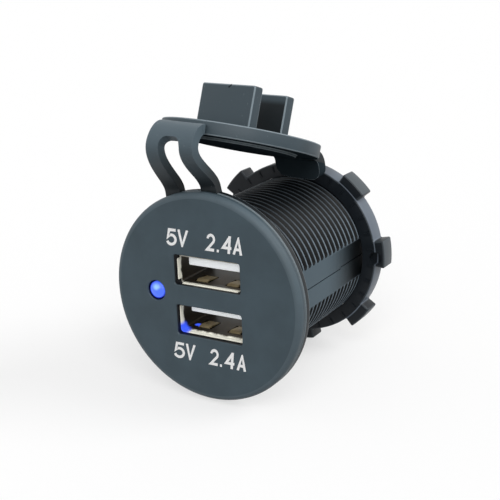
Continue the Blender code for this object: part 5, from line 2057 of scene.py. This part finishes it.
@dataclass
class Lamp(SubAssembly):
    """Round-topped status lamp behind its hole in the fascia."""

    radius: float = LAMP_RADIUS
    front: float = -0.0002
    dome: float = 0.0005
    back: float = 0.0050
    rim_radius: float = 0.00175
    rim_length: float = 0.0008
    steps: int = 64

    def build(self) -> None:
        """Turn the lens and set it in its hole."""
        form = Form()
        dome_radius = (self.radius**2 + self.dome**2) / (2 * self.dome)
        spread = math.degrees(math.asin(self.radius / dome_radius))
        dome = arc((0.0, self.front + dome_radius), dome_radius, -90, spread - 90, 12)
        rim = self.back - self.rim_length
        profile = [
            (0.0, self.front),
            *dome[1:],
            (self.radius, rim),
            (self.rim_radius, rim),
            (self.rim_radius, self.back),
            (0.0, self.back),
        ]
        form.lathe(profile, self.steps)
        form.place(Matrix.Translation((LAMP_PLACE[0], 0.0, LAMP_PLACE[1])))
        self.seat(form, "lit_lamp", Body.SOCKET, "blue_lens", "status_lamp")


@dataclass
class Rear(SubAssembly):
    """Rear cap with its spigot, and the two blade terminals."""

    radius: float = 0.0142
    spigot_radius: float = 0.0125
    front: float = 0.0386
    back: float = 0.0418
    spigot_front: float = 0.0370
    chamfer: float = 0.0007
    recess_radius: float = 0.0118
    recess_depth: float = 0.0004
    blade_x: float = 0.0045
    blade_front: float = 0.0365
    blade_back: float = 0.0503
    blade_width: float = 0.0063
    blade_thickness: float = 0.0008
    blade_tip: float = 0.0012
    hole_radius: float = 0.00085
    hole_from_tip: float = 0.0038
    hole_steps: int = 40
    clearance: float = 0.0003
    steps: int = 144

    def build_cap(self) -> None:
        """Turned cap with a shallow recess round the terminals, and their two slots."""
        form = Form()
        floor = self.back - self.recess_depth
        profile = [
            (0.0, floor),
            (self.recess_radius, floor),
            (self.recess_radius, self.back),
            (self.radius - self.chamfer, self.back),
            (self.radius, self.back - self.chamfer),
            (self.radius, self.front),
            (self.spigot_radius, self.front),
            (self.spigot_radius, self.spigot_front),
            (0.0, self.spigot_front),
        ]
        form.lathe(profile, self.steps)
        form.soften(self.recess_depth / 3, 3, keep=lambda co: co.y > self.front)
        half = self.blade_thickness / 2 + self.clearance
        corner = Vector((half, 0.0, self.blade_width / 2 + self.clearance))
        for side in SIDES:
            front = Vector((side * self.blade_x, self.spigot_front - half, 0.0))
            back = Vector((side * self.blade_x, self.back + half, 0.0))
            form.hollow(front - corner, back + corner)
        name, node = "rear_closing_cap", "rear_cap"
        self.seat(form, name, Body.SOCKET, "barrel_plastic", node, finish="rear_plastic")

    def build_blade(self, side: int, name: str) -> None:
        """One blade with a tapered tip, a round hole and coined edges.

        Args:
            side: 1 for the right one, -1 for the left one.
            name: Node of the frame that it stands for.
        """
        form = Form()
        half = self.blade_width / 2
        x = side * self.blade_x - self.blade_thickness / 2
        shoulder = self.blade_back - self.blade_tip
        outline = [
            (x, self.blade_front, -half),
            (x, shoulder, -half),
            (x, self.blade_back, self.blade_tip - half),
            (x, self.blade_back, half - self.blade_tip),
            (x, shoulder, half),
            (x, self.blade_front, half),
        ]
        edges = form.line(outline, closed=True)
        place = Matrix.Translation((x, self.blade_back - self.hole_from_tip, 0.0))
        upright = place @ Matrix.Rotation(math.pi / 2, 4, "Y")
        edges += form.circle(self.hole_radius, self.hole_steps, upright)
        form.fill(edges)
        form.extrude(form.work.faces[:], Vector((self.blade_thickness, 0.0, 0.0)))
        form.turn_outwards()
        form.soften(self.blade_thickness / 6, 2, 40.0)
        self.seat(
            form, f"blade_{name}", Body.SOCKET, "terminal_brass", f"{name}_terminal", crease=40.0
        )

    def build(self) -> None:
        """Build the cap and both blades."""
        self.build_cap()
        self.build_blade(1, "positive")
        self.build_blade(-1, "negative")


@dataclass
class Electronics(SubAssembly):
    """Sub-parts whose own shape is right: they stay, and take their finish."""

    def build(self) -> None:
        """Give each node that still shows the finish of its slot."""
        slots = {part["node"]: part["material_slot"] for part in frame["record"]["subparts"]}
        for name, node in frame["nodes"].items():
            if node.hide_render:
                continue
            node.data.materials.clear()
            node.data.materials.append(self.palette[slots[name]])
            LOG.info("%s: finish %s", name, slots[name])


@dataclass(frozen=True)
class SunLamp:
    """One broad distant lamp, with its angles in degrees."""

    name: str
    strength: float
    breadth: float
    azimuth: float
    elevation: float

    def build(self) -> None:
        """Hang the lamp; its azimuth runs from the front towards the right."""
        data = bpy.data.lights.new(self.name, "SUN")
        data.energy = self.strength
        data.angle = math.radians(self.breadth)
        lamp = bpy.data.objects.new(self.name, data)
        towards = direction(math.radians(self.azimuth), math.radians(self.elevation))
        lamp.rotation_euler = towards.to_track_quat("Z", "Y").to_euler()
        show(lamp)


@dataclass
class Studio:
    """Pale floor, plain soft light, white surround and the camera of the photograph."""

    camera_place: Vector = field(default_factory=lambda: Vector((0.09145, -0.13449, 0.05862)))
    azimuth: float = math.radians(31.36)
    elevation: float = math.radians(17.15)
    roll: float = math.radians(-2.15)
    focal_pixels: float = 1021.0
    picture_width: float = 500.0
    sensor: float = 36.0
    floor_colour: Colour = (0.98, 0.98, 0.98)
    bounce_colour: Colour = (0.12, 0.12, 0.12)
    floor_glow: float = 0.6
    floor_gap: float = 0.0004
    floor_size: float = 12.0
    floor_grain: float = 0.05
    floor_dip: float = 0.995
    ambient: float = 0.40
    near_clip: float = 0.01
    lamps: Sequence[SunLamp] = (
        SunLamp("key_lamp", 1.6, 45.0, 35.0, 40.0),
        SunLamp("fill_lamp", 0.6, 60.0, 15.0, 12.0),
        SunLamp("back_lamp", 1.2, 30.0, 115.0, 40.0),
    )

    def build_camera(self) -> None:
        """Stand the camera where the photograph was taken from."""
        towards = direction(self.azimuth, self.elevation)
        right = Vector((math.cos(self.azimuth), math.sin(self.azimuth), 0.0))
        level = Matrix((right, towards.cross(right), towards)).transposed().to_4x4()
        matrix = level @ Matrix.Rotation(self.roll, 4, "Z")
        matrix.translation = self.camera_place
        data = bpy.data.cameras.new("camera")
        data.sensor_width = self.sensor
        data.lens = self.focal_pixels / self.picture_width * self.sensor
        data.clip_start = self.near_clip
        camera = bpy.data.objects.new("camera", data)
        camera.matrix_world = matrix
        show(camera)
        bpy.context.scene.camera = camera

    @staticmethod
    def seen(graph: Graph) -> Socket:
        """1 for rays from the lens, from gloss and through glass, else 0."""
        path = graph.node("LightPath", output="Is Camera Ray")
        rays = path + path.part("Is Glossy Ray") + path.part("Is Transmission Ray")
        return graph.maths("MINIMUM", rays, 1.0)

    def build_world(self) -> None:
        """White surround for the lens, for gloss and for glass, softer as a light."""
        world = bpy.data.worlds.new("surround")
        bpy.context.scene.world = world
        world.use_nodes = True
        graph = Graph(world.node_tree)
        strength = self.seen(graph) * (1 - self.ambient) + self.ambient
        sky = graph.node("Background", {"Color": WHITE, "Strength": strength})
        graph.node("OutputWorld", {"Surface": sky})

    def build_floor(self) -> None:
        """Plain pale floor just under the flange, with a faint grain."""
        lowest = CAD_BOX[0].z - self.floor_gap
        form = Form()
        bmesh.ops.create_grid(form.work, x_segments=1, y_segments=1, size=self.floor_size / 2)
        form.place(Matrix.Translation(UP * lowest))
        material = bpy.data.materials.new("floor")
        material.use_nodes = True
        graph = Graph(material.node_tree)
        grain = graph.noise(graph.place(), self.floor_grain)
        tone = graph.mix(grain, scaled(self.floor_colour, self.floor_dip), self.floor_colour)
        tone = graph.mix(self.seen(graph), self.bounce_colour, tone)
        matt = graph.node("BsdfDiffuse", {"Color": tone})
        glow = graph.node("Emission", {"Color": WHITE, "Strength": 1.0})
        shaders = {0: self.seen(graph) * self.floor_glow, 1: matt, 2: glow}
        surface = graph.node("MixShader", shaders)
        graph.node("OutputMaterial", {"Surface": surface})
        form.piece("floor", material)

    def build(self) -> None:
        """Set up the whole studio."""
        bpy.context.scene.view_settings.view_transform = "Standard"
        self.build_camera()
        self.build_world()
        self.build_floor()
        for lamp in self.lamps:
            lamp.build()


def main() -> None:
    """Build and dress the whole socket, then its surroundings."""
    logging.basicConfig(level=logging.INFO, format="%(name)s: %(message)s")
    palette = Palette()
    sub_assemblies = (
        Fascia(palette),
        Print(palette),
        Cover(palette),
        Barrel(palette),
        RingNut(palette),
        Receptacle(palette, Level.UPPER, lip_shift=0.0, notched_ends=(-1, 1)),
        Receptacle(palette, Level.LOWER, lip_shift=-0.0004, notched_ends=(1,)),
        Lamp(palette),
        Rear(palette),
        Electronics(palette),
        Studio(),
    )
    for sub_assembly in sub_assemblies:
        LOG.info("building %s", type(sub_assembly).__name__)
        sub_assembly.build()


if __name__ == "__main__":
    main()
